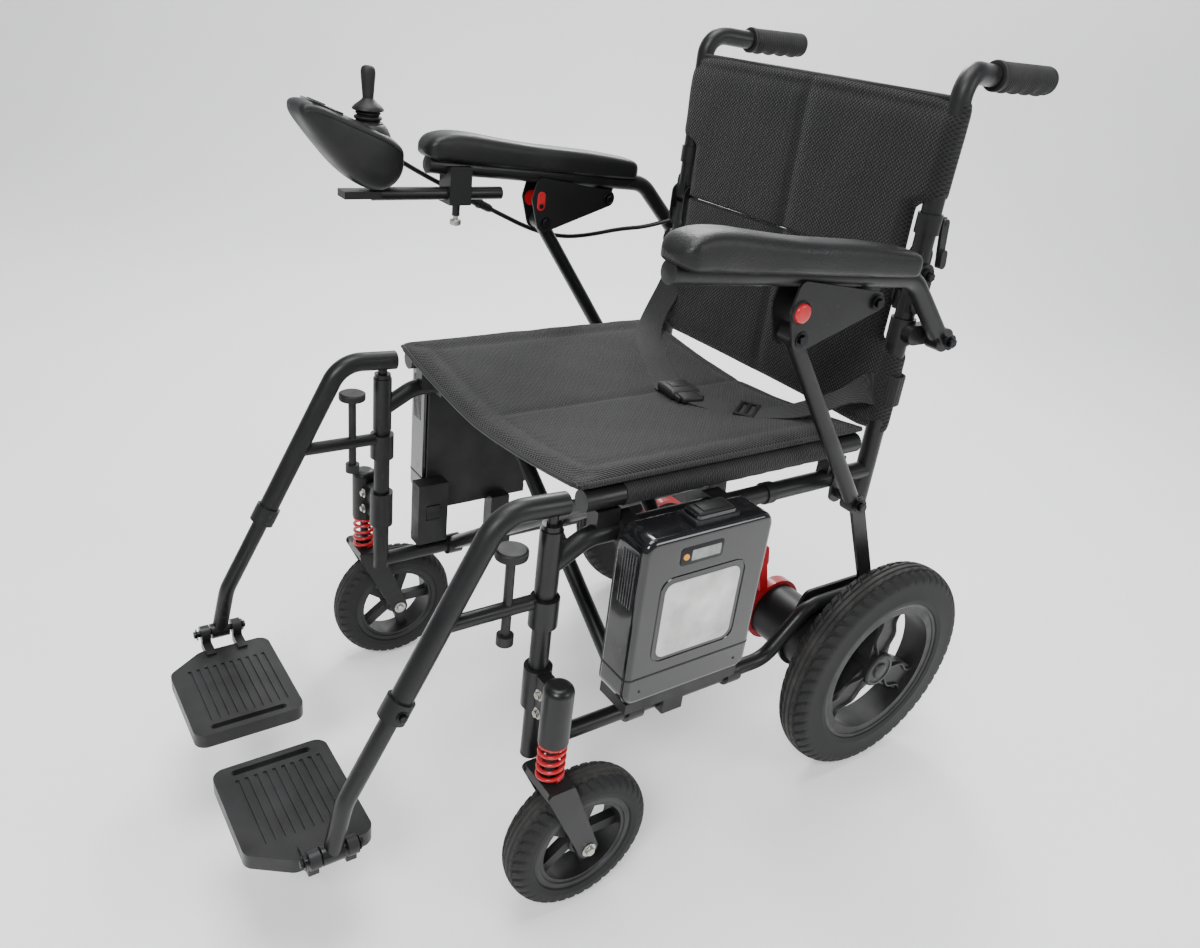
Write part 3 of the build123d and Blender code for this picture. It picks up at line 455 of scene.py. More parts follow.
def floor_and_light():
    """Pale sweep: a floor that curves up into a wall behind the chair."""
    ahead = Vector((-sin(VIEW_YAW), cos(VIEW_YAW), 0))
    across = Vector((ahead.y, -ahead.x, 0))
    profile = [(-5.0, 0.0), (2.4, 0.0)]
    profile += [(2.4 + 1.2 * sin(radians(a)), 1.2 - 1.2 * cos(radians(a))) for a in range(10, 91, 10)]
    profile.append((3.6, 5.0))
    bm = bmesh.new()
    rows = [[bm.verts.new(ahead * d + across * w + Vector((0, 0, h))) for w in (-7, 7)] for d, h in profile]
    for a, b in zip(rows, rows[1:]):
        bm.faces.new((a[0], b[0], b[1], a[1]))
    bmesh.ops.recalc_face_normals(bm, faces=bm.faces)
    mesh = bpy.data.meshes.new("sweep")
    bm.to_mesh(mesh)
    bm.free()
    smooth_faces(mesh)
    sweep = add_object("sweep", mesh)
    pale, tree, shader = start_material("pale_sweep", (0.86, 0.86, 0.85), 0.75)
    tree.links.new(grey(tree, noise(tree, 2, 3), 0.3, 0.7, 0.84, 0.88), shader.inputs["Base Color"])
    shader.inputs["Emission Color"].default_value = (1, 1, 0.99, 1)
    shader.inputs["Emission Strength"].default_value = 0.3
    mesh.materials.append(pale)
    world = bpy.data.worlds.new("studio")
    world.use_nodes = True
    world.node_tree.nodes["Background"].inputs["Color"].default_value = (0.9, 0.93, 0.97, 1)
    world.node_tree.nodes["Background"].inputs["Strength"].default_value = 0.3
    bpy.context.scene.world = world
    lamps = (("key", (1.7, -2.2, 2.6), 0.9, 85), ("fill", (2.6, 1.6, 1.7), 1.2, 30),
             ("back", (-1.9, 1.5, 2.3), 0.9, 50), ("top", (0.0, -0.3, 3.0), 1.4, 60),
             ("wall", (-0.9, 0.7, 3.6), 2.5, 60))
    for name, at, size, power in lamps:
        data = bpy.data.lights.new(name, "AREA")
        data.size, data.energy = size, power
        lamp = add_object(name, data)
        lamp.location = at
        aim = Vector((0, 0, 0.45)) if name != "wall" else Vector((-2.6, 2.0, 0.8))
        lamp.rotation_euler = (aim - Vector(at)).to_track_quat("-Z", "Y").to_euler()


look()
floor_and_light()


# ---- controller cable -------------------------------------------------------------------
CABLE_ROUTE = [(-262, -160, 738), (-276, -118, 716), (-280, -60, 690), (-279, -2, 664), (-276, 52, 640),
               (-275, 104, 628), (-274, 152, 630), (-264, 196, 640), (-247, 236, 646), (-228.4, 262, 660)]
CABLE_WIDE = 0.0064
CONNECTOR_Y = -0.03


def route_curve(name):
    """NURBS curve on the points of the cable's route."""
    curve = bpy.data.curves.new(name, "CURVE")
    curve.dimensions = "3D"
    spline = curve.splines.new("NURBS")
    spline.points.add(len(CABLE_ROUTE) - 1)
    for point, (x, y, z) in zip(spline.points, CABLE_ROUTE):
        point.co = (x * MM, y * MM, z * MM, 1)
    spline.order_u = 3
    spline.use_endpoint_u = True
    return curve


def make_cable():
    curve = route_curve("controller_cable")
    curve.bevel_depth = CABLE_WIDE / 2
    curve.bevel_resolution = 4
    curve.resolution_u = 10
    curve.use_fill_caps = True
    cable = add_object("controller_cable", curve)
    curve.materials.append(CABLE_PVC)
    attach(cable, "right_armrest")
    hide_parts("joystick_cable")
    # points sampled along the spline
    path = route_curve("route")
    path.resolution_u = 16
    probe = bpy.data.objects.new("route", path)
    line = [v.co.copy() for v in bpy.data.meshes.new_from_object(probe).vertices]
    bpy.data.objects.remove(probe)
    # inline connector
    at = min(range(len(line)), key=lambda i: abs(line[i].y - CONNECTOR_Y))
    way = (line[at + 1] - line[at - 1]).normalized()
    outline = [(-20, 0.1), (-20, 4.4), (-16, 5.6), (-3, 5.8), (-2, 6.9), (2, 6.9), (3, 5.8), (16, 5.6),
               (20, 4.4), (20, 0.1)]
    plug = turned("cable_connector", outline, line[at], way, "right_armrest", MOULDED, 24,
                  False, way.orthogonal().normalized())


make_cable()


# ---- wheels -----------------------------------------------------------------------------
SAMPLES_PER_BLOCK = 8
TREAD_SPAN = 0.985  # share of the half width that the tread covers


def tread_cut(t, turn):
    """How deep the tread is cut at t across (-1 to 1) and turn (in blocks) round it."""
    phase = turn % 1.0
    side = abs(t)
    zigzag = 0.045 * abs(2 * phase - 1)
    if abs(side - 0.15) < 0.045 or abs(side - 0.44 - zigzag) < 0.05:
        return 1.0
    slant = (phase + side * 0.9 + (0.5 if t > 0 else 0.0)) % 1.0
    if side > 0.5 and slant < 0.3:
        return 1.0
    return 0.6 if 0.19 < side < 0.4 and slant < 0.13 else 0.0


def make_tyres():
    for side in SIDES:
        for kind, blocks, samples, material in (("rear", 54, 44, TYRE_REAR), ("castor", 40, 32, TYRE_FRONT)):
            node = f"{side}_{kind}_tyre"
            low, high = map(Vector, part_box(node))
            centre = (low + high) / 2
            outer, half = (high.z - low.z) / 2 - 0.2 * MM, (high.x - low.x) / 2
            inner = outer - (50.5 if kind == "rear" else 27.5) * MM
            shoulder = outer - half * 0.62
            depth = 2.6 * MM if kind == "rear" else 2.1 * MM
            wall = [(-half + 5 * MM, inner), (-half + 1.4 * MM, inner + 2.4 * MM),
                    (-half + 0.6 * MM, inner + 6 * MM),
                    (-half, inner + 8 * MM), (-half, inner + 10 * MM), (-half + 0.5 * MM, inner + 12 * MM),
                    (-half + 0.2 * MM, shoulder - 4 * MM)]
            outline = [(x, r, None) for x, r in wall]
            for i in range(samples + 1):
                t = -TREAD_SPAN + 2 * TREAD_SPAN * i / samples
                outline.append((half * t, outer - (outer - shoulder) * (1 - sqrt(1 - TREAD_SPAN * t * t)), t))
            outline += [(-x, r, None) for x, r in reversed(wall)]
            bm = bmesh.new()
            around = blocks * SAMPLES_PER_BLOCK
            rings = []
            for k in range(around):
                angle = 2 * pi * k / around
                out = Vector((0, cos(angle), sin(angle)))
                ring = []
                for x, r, t in outline:
                    if t is not None:
                        r -= depth * tread_cut(t, k / SAMPLES_PER_BLOCK)
                    ring.append(bm.verts.new(centre + Vector((x, 0, 0)) + out * r))
                rings.append(ring)
            join_rings(bm, rings, True)
            finish_piece(node + "_tread", bm, f"{side}_{kind}_wheel", material,
                         replaces=(node,))


def make_spokes():
    """Waisted spoke covers of the rear rims: a raised border round a sunken face."""
    shape = [(22, 8.5), (28, 9.5), (34, 12), (40, 15.5), (46, 18.6), (52, 20.2), (58, 19.6), (64, 17.4),
             (70, 15.2),
             (76, 14.6), (82, 16.2), (88, 20), (94, 25)]
    for side, sign in SIDES.items():
        centre = middle(f"{side}_rear_tyre")
        out = Vector((sign, 0, 0))
        bm = bmesh.new()
        for turn in (90, 210, 330):
            along = Vector((0, cos(radians(turn)), sin(radians(turn))))
            across = out.cross(along)
            rings = []
            for depth, inset in ((2.0, 0.0), (13.0, 0.0), (14.0, 0.8), (14.0, 3.0), (10.5, 4.4), (10.5, 4.6)):
                ring = []
                for face in (1, -1):
                    half = [(r, face * max(1.2, w - inset)) for r, w in shape]
                    half[0] = (22 + inset, half[0][1])
                    half[-1] = (94 - inset * 0.5, half[-1][1])
                    ring += half if face > 0 else half[::-1]
                rings.append([bm.verts.new(centre + (along * r + across * w + out * depth) * MM)
                              for r, w in ring])
            join_rings(bm, rings)
            for ring in (rings[0], rings[-1]):
                for i in range(len(shape) - 1):
                    bm.faces.new((ring[i], ring[i + 1], ring[-2 - i], ring[-1 - i]))
        finish_piece(f"{side}_spoke_covers", bm, f"{side}_rear_wheel", RIM_BLACK)


def make_hubs():
    for side, sign in SIDES.items():
        centre = middle(f"{side}_rear_tyre")
        out = Vector((sign, 0, 0))
        cap = [(14, 0.1), (14, 25.6), (16.6, 25.4), (18.4, 23.6), (18.8, 20), (17.4, 18.5), (17.2, 12),
               (19.6, 10.8),
               (20.2, 8.5), (20.2, 0.1)]
        turned(f"{side}_hub_cap", cap, centre, out, f"{side}_rear_wheel",
               MOULDED, 48, False)
        bead = [(13, 104.5), (20.2, 103), (21.4, 105), (21.2, 108), (19, 109), (13, 109)]
        for where, face in FACES.items():
            turned(f"{side}_rim_bead_{where}",
                   [(a * face, r) for a, r in bead], centre, out,
                   f"{side}_rear_wheel", RIM_BLACK, 72)
        places = []
        for k in range(6):
            angle = k * pi / 3 + pi / 6
            at = centre + out * 14 * MM + Vector((0, cos(angle), sin(angle))) * 21 * MM
            places.append((at, out, 1.9, 1.6))
        bolts(f"{side}_rim_screws", places, f"{side}_rear_wheel", ZINC)
        castor = middle(f"{side}_castor_tyre")
        flange = [(11.5, 0.1), (11.5, 17), (13.4, 16.4), (14.4, 14), (17, 9.2), (23, 8.6), (23, 0.1)]
        for where, face in FACES.items():
            turned(f"{side}_castor_hub_{where}",
                   flange, castor, out * face,
                   f"{side}_castor_wheel", MOULDED, 36, False)
        ring = [(15, 55), (18.4, 57), (19, 61), (18.4, 64.5), (15, 64.5)]
        for where, face in FACES.items():
            turned(f"{side}_castor_bead_{where}",
                   [(a * face, r) for a, r in ring], castor, out,
                   f"{side}_castor_wheel", RIM_BLACK, 60)
        bolts(f"{side}_castor_axle_nuts",
              [(castor + out * f * 28.6 * MM, out * f, 5.6, 4.2) for f in (1, -1)],
              f"{side}_castor_fork", ZINC)


def make_springs():
    """Coil springs of the castors, wound from round wire with closed ends."""
    for side in SIDES:
        node = f"{side}_castor_spring"
        low, high = map(Vector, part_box(node))
        centre = (low + high) / 2
        wire, turns, per_turn = 2.3 * MM, 5.5, 24
        radius = (high.x - low.x) / 2 - wire
        curve = bpy.data.curves.new(node + "_coil", "CURVE")
        curve.dimensions = "3D"
        curve.bevel_depth, curve.bevel_resolution = wire, 4
        curve.use_fill_caps = True
        count = int(turns * per_turn)
        spline = curve.splines.new("POLY")
        spline.points.add(count)
        for i, point in enumerate(spline.points):
            t = i / count
            rise = min(1.0, max(0.0, (t * turns - 0.7) / (turns - 1.4)))
            z = low.z + wire + (high.z - low.z - 2 * wire) * rise
            angle = 2 * pi * turns * t
            point.co = (centre.x + radius * cos(angle), centre.y + radius * sin(angle), z, 1)
        coil = bpy.data.objects.new(node + "_coil", curve)
        mesh = bpy.data.meshes.new_from_object(coil)
        bpy.data.objects.remove(coil)
        piece = add_object(node + "_coil", mesh)
        shade_smooth(piece, RED_STEEL)
        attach(piece, f"{side}_side")
        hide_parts(node)
        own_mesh(piece)


make_tyres()
make_spokes()
make_hubs()
make_springs()


# ---- batteries --------------------------------------------------------------------------
def round_corners(y, z, corner, steps_each=8):
    """Points round a rectangle's corners: each corner's centre, and the way out from it."""
    points = []
    for cy, cz, begin in ((y[1] - corner, z[1] - corner, 0), (y[0] + corner, z[1] - corner, 90),
                          (y[0] + corner, z[0] + corner, 180), (y[1] - corner, z[0] + corner, 270)):
        for step in range(steps_each + 1):
            turn = radians(begin + 90 * step / steps_each)
            points.append((cy, cz, cos(turn), sin(turn)))
    return points


def rounded_plate(bm, x, y, z, corner):
    """Solid panel square to X with round corners: x runs from its back to its face."""
    outline = [(cy, cz, corner * c, corner * s) for cy, cz, c, s in round_corners(y, z, corner)]
    rings = []
    trim = min(0.0005, corner * 0.2)
    lip = x[1] - (x[1] - x[0]) * 0.25
    for depth, scale in ((x[0], 1.0), (lip, 1.0), (x[1], 1 - trim / corner)):
        rings.append([bm.verts.new((depth, cy + dy * scale, cz + dz * scale)) for cy, cz, dy, dz in outline])
    join_rings(bm, rings)
    cap_ends(bm, rings)


def rounded_frame(bm, x, y, z, corner, wide):
    """Raised bead along a rounded rectangle that lies in a plane square to X."""
    rings = []
    for depth, inset in ((x[0], 0.0), (x[1], wide * 0.25), (x[1], wide * 0.75), (x[0], wide)):
        r = corner - inset
        rings.append([bm.verts.new((depth, cy + r * c, cz + r * s))
                      for cy, cz, c, s in round_corners(y, z, corner)])
    join_rings(bm, rings, True)


def cap_bead(bm, low, high, sign, z, tall):
    """Bead round a battery case, following its rounded outer edges."""
    outer, inner = (high.x, low.x) if sign > 0 else (low.x, high.x)
    round_out, round_in = 0.007, 0.003
    outline = []
    for x, y, r, sx, sy in ((outer, high.y, round_out, sign, 1), (outer, low.y, round_out, sign, -1),
                            (inner, low.y, round_in, -sign, -1), (inner, high.y, round_in, -sign, 1)):
        corner = []
        for step in range(7):
            turn = radians(15 * step)
            corner.append(Vector((sx * cos(turn), sy * sin(turn), 0)))
        if (sx == sign) == (sy == 1):
            corner.reverse()
        outline += [(Vector((x - sx * r, y - sy * r, 0)), way, r) for way in corner]
    rings = []
    for grow, height in ((0.0006, z), (0.0006, z + tall), (-0.0009, z + tall), (-0.0009, z)):
        rings.append([bm.verts.new(at + way * (r + grow) + Vector((0, 0, height))) for at, way, r in outline])
    join_rings(bm, rings, True)


def make_battery_trim():
    for side, sign in SIDES.items():
        low, high = map(Vector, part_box(f"{side}_battery"))
        face = high.x if sign > 0 else low.x
        body = f"{side}_battery"
        front, rear, bottom = low.y, high.y, low.z

        def panel(name, depth, y, z, corner, material, slot):
            bm = bmesh.new()
            rounded_plate(bm, (face - sign * 0.0006, face + sign * depth * MM), y, z, corner)
            finish_piece(f"{side}_{name}", bm, body, material)
        panel("display_bezel", 0.9, (front + 0.047, front + 0.104), (bottom + 0.167, bottom + 0.188), 0.004,
              MOULDED,
              "moulded_black")
        panel("display", 1.2, (front + 0.061, front + 0.100), (bottom + 0.171, bottom + 0.184), 0.0015, LCD,
              "battery_gloss")
        panel("display_button", 2.4, (front + 0.0500, front + 0.0572), (bottom + 0.1740, bottom + 0.1812),
              0.0035,
              AMBER, "red_plastic")
        panel("rating_plate", 0.9, (front + 0.034, rear - 0.038), (bottom + 0.056, bottom + 0.148), 0.011,
              LABEL,
              "battery_gloss")
        bm = bmesh.new()
        rounded_frame(bm, (face - sign * 0.0006, face + sign * 0.0011), (front + 0.027, rear - 0.030),
                      (bottom + 0.049, bottom + 0.156), 0.016, 0.0026)
        finish_piece(f"{side}_case_outline", bm, body, CASE_GLOSS)
        bm = bmesh.new()
        cap_bead(bm, low, high, sign, bottom + 0.034, 0.0018)
        finish_piece(f"{side}_case_joint", bm, body, MOULDED)
        # carrying handle: a stepped latch block
        bm = bmesh.new()
        x_mid, top = (low.x + high.x) / 2, high.z
        rounded_box(bm, (x_mid - 0.0150, -0.056, top - 0.013), (x_mid + 0.0150, 0.004, top - 0.004), 0.0025,
                    3)
        rounded_box(bm, (x_mid - 0.0115, -0.050, top - 0.006), (x_mid + 0.0115, -0.002, top + 0.0022), 0.002,
                    3)
        rounded_box(bm, (x_mid - 0.0085, -0.043, top + 0.001), (x_mid + 0.0085, -0.009, top + 0.0036), 0.001,
                    2)
        finish_piece(f"{side}_battery_handle", bm, body, MOULDED)
        # fine ridges down the upper front corner
        bm = bmesh.new()
        for rib in range(6):
            x = face - sign * (0.011 + rib * 0.0042)
            x0, x1 = sorted((x, x - sign * 0.0018))
            rounded_box(bm, (x0, front - 0.0007, bottom + 0.120), (x1, front + 0.003, bottom + 0.184), 0.0006,
                        2)
        finish_piece(f"{side}_case_ridges", bm, body, CASE_GLOSS)
        bolts(f"{side}_case_screws",
              [(Vector((face - sign * 0.0004, y, bottom + 0.017)), (sign, 0, 0), 1.8, 0.7)
               for y in (front + 0.020, rear - 0.020)], body, BLACK_BOLT)


make_battery_trim()


# ---- padded seat, back and arm pads -----------------------------------------------------
def grid_slab(bm, xs, ys, place):
    """Closed slab: place(u, v, upper) gives each point of a grid's top and underside."""
    layers = []
    for upper in (False, True):
        rows = [[bm.verts.new(place(u, v, upper)) for u in xs] for v in ys]
        for a, b in zip(rows, rows[1:]):
            for i in range(len(xs) - 1):
                quad = (a[i], a[i + 1], b[i + 1], b[i])
                bm.faces.new(quad if upper else quad[::-1])
        layers.append(rows)
    low, high = layers
    rim_low = low[0] + [r[-1] for r in low[1:]] + low[-1][-2::-1] + [r[0] for r in low[-2:0:-1]]
    rim_high = high[0] + [r[-1] for r in high[1:]] + high[-1][-2::-1] + [r[0] for r in high[-2:0:-1]]
    for i in range(len(rim_low)):
        j = (i + 1) % len(rim_low)
        bm.faces.new((rim_low[i], rim_low[j], rim_high[j], rim_high[i]))


def puff(piece, pressure, cap, frames=16):
    """Swells a closed fabric form with cloth pressure and keeps each point within cap."""
    before = [v.co.copy() for v in piece.data.vertices]
    scene = bpy.context.scene
    cloth = piece.modifiers.new("cloth", "CLOTH")
    cloth.settings.use_pressure = True
    cloth.settings.uniform_pressure_force = pressure
    cloth.settings.effector_weights.gravity = 0
    cloth.settings.quality = 4
    cloth.point_cache.frame_end = frames
    for step in range(1, frames + 1):
        scene.frame_set(step)
    apply_modifiers(piece)
    scene.frame_set(1)
    for vert, start in zip(piece.data.vertices, before):
        shift = vert.co - start
        if shift.length > cap:
            vert.co = start + shift * (cap / shift.length)


def soften(piece, levels=1):
    sub = piece.modifiers.new("subdivide", "SUBSURF")
    sub.levels = sub.render_levels = levels
    apply_modifiers(piece)


def steps(low, high, count):
    return [low + (high - low) * i / count for i in range(count + 1)]


SEAT_LOW, SEAT_HIGH = map(Vector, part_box("seat_cushion"))
SEAT_HALF = SEAT_HIGH.x
SEAT_SAG = 0.024


def seat_height(x):
    """Top of the slung seat: highest over the rails, lowest along the middle."""
    t = min(1.0, abs(x) / SEAT_HALF)
    return SEAT_HIGH.z - 0.001 - SEAT_SAG * (1 - t ** 1.5)


def gap_to(u, v, line):
    """Distance from a point to a straight sewn line."""
    (u0, v0), (u1, v1) = line
    du, dv = u1 - u0, v1 - v0
    t = max(0.0, min(1.0, ((u - u0) * du + (v - v0) * dv) / (du * du + dv * dv)))
    return sqrt((u - u0 - t * du) ** 2 + (v - v0 - t * dv) ** 2)


def stitched(u, v, lines, width):
    """1 on a sewn line, fading to 0 between lines."""
    return exp(-min(gap_to(u, v, line) for line in lines) / width)


def make_seat():
    inset, front, rear, half = 0.033, SEAT_LOW.y, SEAT_HIGH.y, SEAT_HALF - 0.002
    band = front + inset
    seams = [((0, band), (0, rear)), ((-half + inset, band), (half - inset, band)),
             ((-half + inset, band), (-half + inset, rear)), ((half - inset, band), (half - inset, rear)),
             ((-half + inset, band), (-half, front)), ((half - inset, band), (half, front)),
             ((-half, rear - 0.020), (half, rear - 0.020))]
    bm = bmesh.new()

    def place(x, y, upper):
        nearest = min(half - abs(x), y - front - 0.001, rear - 0.001 - y)
        rolled = exp(-max(0.0, nearest) / 0.0045)
        top = seat_height(x) + 0.0004 * sin(x * 71 + y * 23) * sin(y * 83)
        if upper:
            return (x, y, top - 0.0058 * rolled - 0.0034 * stitched(x, y, seams, 0.0065) * (1 - rolled))
        return (x, y, top - 0.0145 + 0.0052 * rolled)
    grid_slab(bm, steps(-half, half, 84), steps(front + 0.001, rear - 0.001, 80), place)
    seat = finish_piece("seat_sling", bm, "seat", SEAT_CLOTH, replaces=("seat_cushion",))
    puff(seat, 2.2, 0.0016)
    soften(seat)
    shade_smooth(seat, SEAT_CLOTH)
    fold_soft(seat)


RAIL_X, RAIL_Z = 0.207, 0.494


def fold_soft(piece):
    """Gives a soft piece its own copy of its mesh."""
    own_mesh(piece)


def swept_tape(name, line, ups, width, thick, body, material):
    """Flat tape along a line of points, lying square to the matching up vectors."""
    bm = bmesh.new()
    rings = []
    for i, (at, up) in enumerate(zip(line, ups)):
        before, after = line[max(0, i - 1)], line[min(len(line) - 1, i + 1)]
        way = (Vector(after) - Vector(before)).normalized()
        side = way.cross(Vector(up)).normalized()
        up = side.cross(way).normalized()
        soft = 0.35 * thick
        section = [(-width / 2 + soft, 0), (width / 2 - soft, 0), (width / 2, soft),
                   (width / 2, thick - soft),
                   (width / 2 - soft, thick), (-width / 2 + soft, thick), (-width / 2, thick - soft),
                   (-width / 2, soft)]
        rings.append([bm.verts.new(Vector(at) + side * s + up * h) for s, h in section])
    join_rings(bm, rings)
    cap_ends(bm, rings)
    return finish_piece(name, bm, body, material)


def cord_bead(bm, line, radius, sides=8):
    """Adds a round bead, such as piping, along a line of points."""
    rings = []
    for i, at in enumerate(line):
        before, after = Vector(line[max(0, i - 1)]), Vector(line[min(len(line) - 1, i + 1)])
        turn = (after - before).normalized().to_track_quat("Z", "Y")
        rings.append([bm.verts.new(Vector(at) + turn @ Vector((radius * cos(2 * pi * k / sides),
                                                              radius * sin(2 * pi * k / sides), 0)))
                      for k in range(sides)])
    join_rings(bm, rings)
    cap_ends(bm, rings)


def smooth_path(points, count=10):
    """Curve through the points, as many samples to each span."""
    points = [Vector(p) for p in points]
    line = []
    for i in range(len(points) - 1):
        a, b = points[max(0, i - 1)], points[i]
        c, d = points[i + 1], points[min(len(points) - 1, i + 2)]
        for step in range(count):
            t = step / count
            line.append(0.5 * (2 * b + (c - a) * t + (2 * a - 5 * b + 4 * c - d) * t ** 2
                               + (3 * b - a - 3 * c + d) * t ** 3))
    return line + [points[-1]]


def make_seat_trim():
    """Binding round the seat, and the cloth sleeves that hold it to the rails."""
    edge = 0.0032
    front, rear = SEAT_LOW.y + edge, SEAT_HIGH.y - edge
    corner = 0.012
    bm = bmesh.new()
    side_x = SEAT_HALF - edge
    loop = [(-side_x, rear)] + [(-side_x, y) for y in steps(rear - corner, front + corner, 14)]
    loop += [(-side_x + corner * (1 - cos(radians(a))), front + corner * (1 - sin(radians(a))))
             for a in (30, 60, 90)]
    loop += [(x, front) for x in steps(-side_x + corner * 1.5, side_x - corner * 1.5, 40)]
    loop += [(side_x - corner * (1 - cos(radians(a))), front + corner * (1 - sin(radians(a))))
             for a in (90, 60, 30)]
    loop += [(side_x, y) for y in steps(front + corner, rear - corner, 14)] + [(side_x, rear)]
    cord_bead(bm, [(x, y, seat_height(x) - 0.0085) for x, y in loop], edge)
    cord_bead(bm, [(x, rear, seat_height(x) - 0.0085) for x in steps(-side_x, side_x, 40)], edge)
    binding = finish_piece("seat_binding", bm, "seat", HEM_CLOTH)
    fold_soft(binding)
    for side, sign in SIDES.items():
        outline = [(0, 12.3), (0.4, 13.4)]
        for fold in range(1, 30):
            outline.append((fold * 10, 13.3 + 0.35 * sin(fold * 2.1)))
        outline += [(297.6, 13.4), (298, 12.3)]
        turned(f"{side}_rail_sleeve", outline, (sign * RAIL_X, -0.112, RAIL_Z), (0, 1, 0),
               "brace_a" if side == "left" else "brace_b", HEM_CLOTH, 28, True)


make_seat()
make_seat_trim()


def make_belt():
    """Lap belt: two straps from the back posts that meet in a side-release buckle."""
    def rests(x, y, lift=0.0006):
        return (x, y, seat_height(x) + lift)
    flat = (0, 0, 1)
    straps = (
        ("right", STRAP_RIGHT, [
            ((-0.193, 0.262, 0.600), (0.5, -0.9, 0.0)), ((-0.192, 0.246, 0.566), (0.45, -0.8, 0.3)),
            ((-0.178, 0.214, 0.531), (0.2, -0.5, 0.8)), (rests(-0.145, 0.182, 0.002), flat),
            (rests(-0.08, 0.147), flat), (rests(-0.01, 0.114), flat), (rests(0.014, 0.104, 0.004), flat)]),
        ("left", STRAP_LEFT, [
            (rests(0.052, 0.108, 0.004), flat), (rests(0.09, 0.128), flat),
            (rests(0.135, 0.160, 0.002), flat),
            ((0.168, 0.196, 0.529), (-0.2, -0.5, 0.8)), ((0.188, 0.232, 0.548), (-0.35, -0.8, 0.35)),
            ((0.204, 0.2505, 0.560), (-0.1, -1.0, 0.0)), ((0.2255, 0.262, 0.562), (0.9, -0.3, 0.0)),
            ((0.2225, 0.279, 0.562), (0.7, 0.7, 0.0)), ((0.206, 0.2835, 0.562), (0.0, 1.0, 0.0))]))
    for name, material, stations in straps:
        line = smooth_path([s[0] for s in stations])
        ups = smooth_path([s[1] for s in stations])
        strap = swept_tape(f"belt_strap_{name}", line, ups, 0.037, 0.0019, "seat", material)
        fold_soft(strap)
        if name == "right":
            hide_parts("lap_belt")
    buckle_at = Matrix.Translation((0.034, 0.104, seat_height(0.034) + 0.0085))
    turn = buckle_at @ Matrix.Rotation(radians(-8), 4, "Z")
    bm = bmesh.new()
    rounded_box(bm, (-0.030, -0.0215, -0.0060), (0.010, 0.0215, 0.0062), 0.0045, 4)
    rounded_box(bm, (0.004, -0.0150, -0.0045), (0.028, 0.0150, 0.0045), 0.0030, 3)
    for arm in (-0.0190, 0.0150):
        rounded_box(bm, (0.002, arm, -0.0035), (0.022, arm + 0.004, 0.0035), 0.0015, 2)
    rounded_box(bm, (-0.024, -0.0120, 0.0045), (-0.006, 0.0120, 0.0072), 0.0012, 2)
    bmesh.ops.transform(bm, matrix=turn, verts=bm.verts)
    buckle = finish_piece("belt_buckle", bm, "seat", MOULDED)
    fold_soft(buckle)
    # ladder-lock slider on the left strap
    slider_at = Matrix.Translation((0.112, 0.143, seat_height(0.112) + 0.0035))
    turn = slider_at @ Matrix.Rotation(radians(35), 4, "Z")
    bm = bmesh.new()
    for x0, x1 in ((-0.013, -0.008), (-0.0025, 0.0025), (0.008, 0.013)):
        rounded_box(bm, (x0, -0.0225, -0.0014), (x1, 0.0225, 0.0022), 0.0012, 2)
    for y0, y1 in ((-0.0235, -0.0195), (0.0195, 0.0235)):
        rounded_box(bm, (-0.013, y0, -0.0016), (0.013, y1, 0.0024), 0.0012, 2)
    bmesh.ops.transform(bm, matrix=turn, verts=bm.verts)
    slider = finish_piece("belt_slider", bm, "seat", MOULDED)
    fold_soft(slider)


make_belt()


# ---- back upholstery --------------------------------------------------------------------
POST_X, POST_Y, FOLD_Z = 0.210, 0.2665, 0.702
COVER_R = 0.0143


def blend_step(value, low, high):
    t = max(0.0, min(1.0, (value - low) / (high - low)))
    return t * t * (3 - 2 * t)


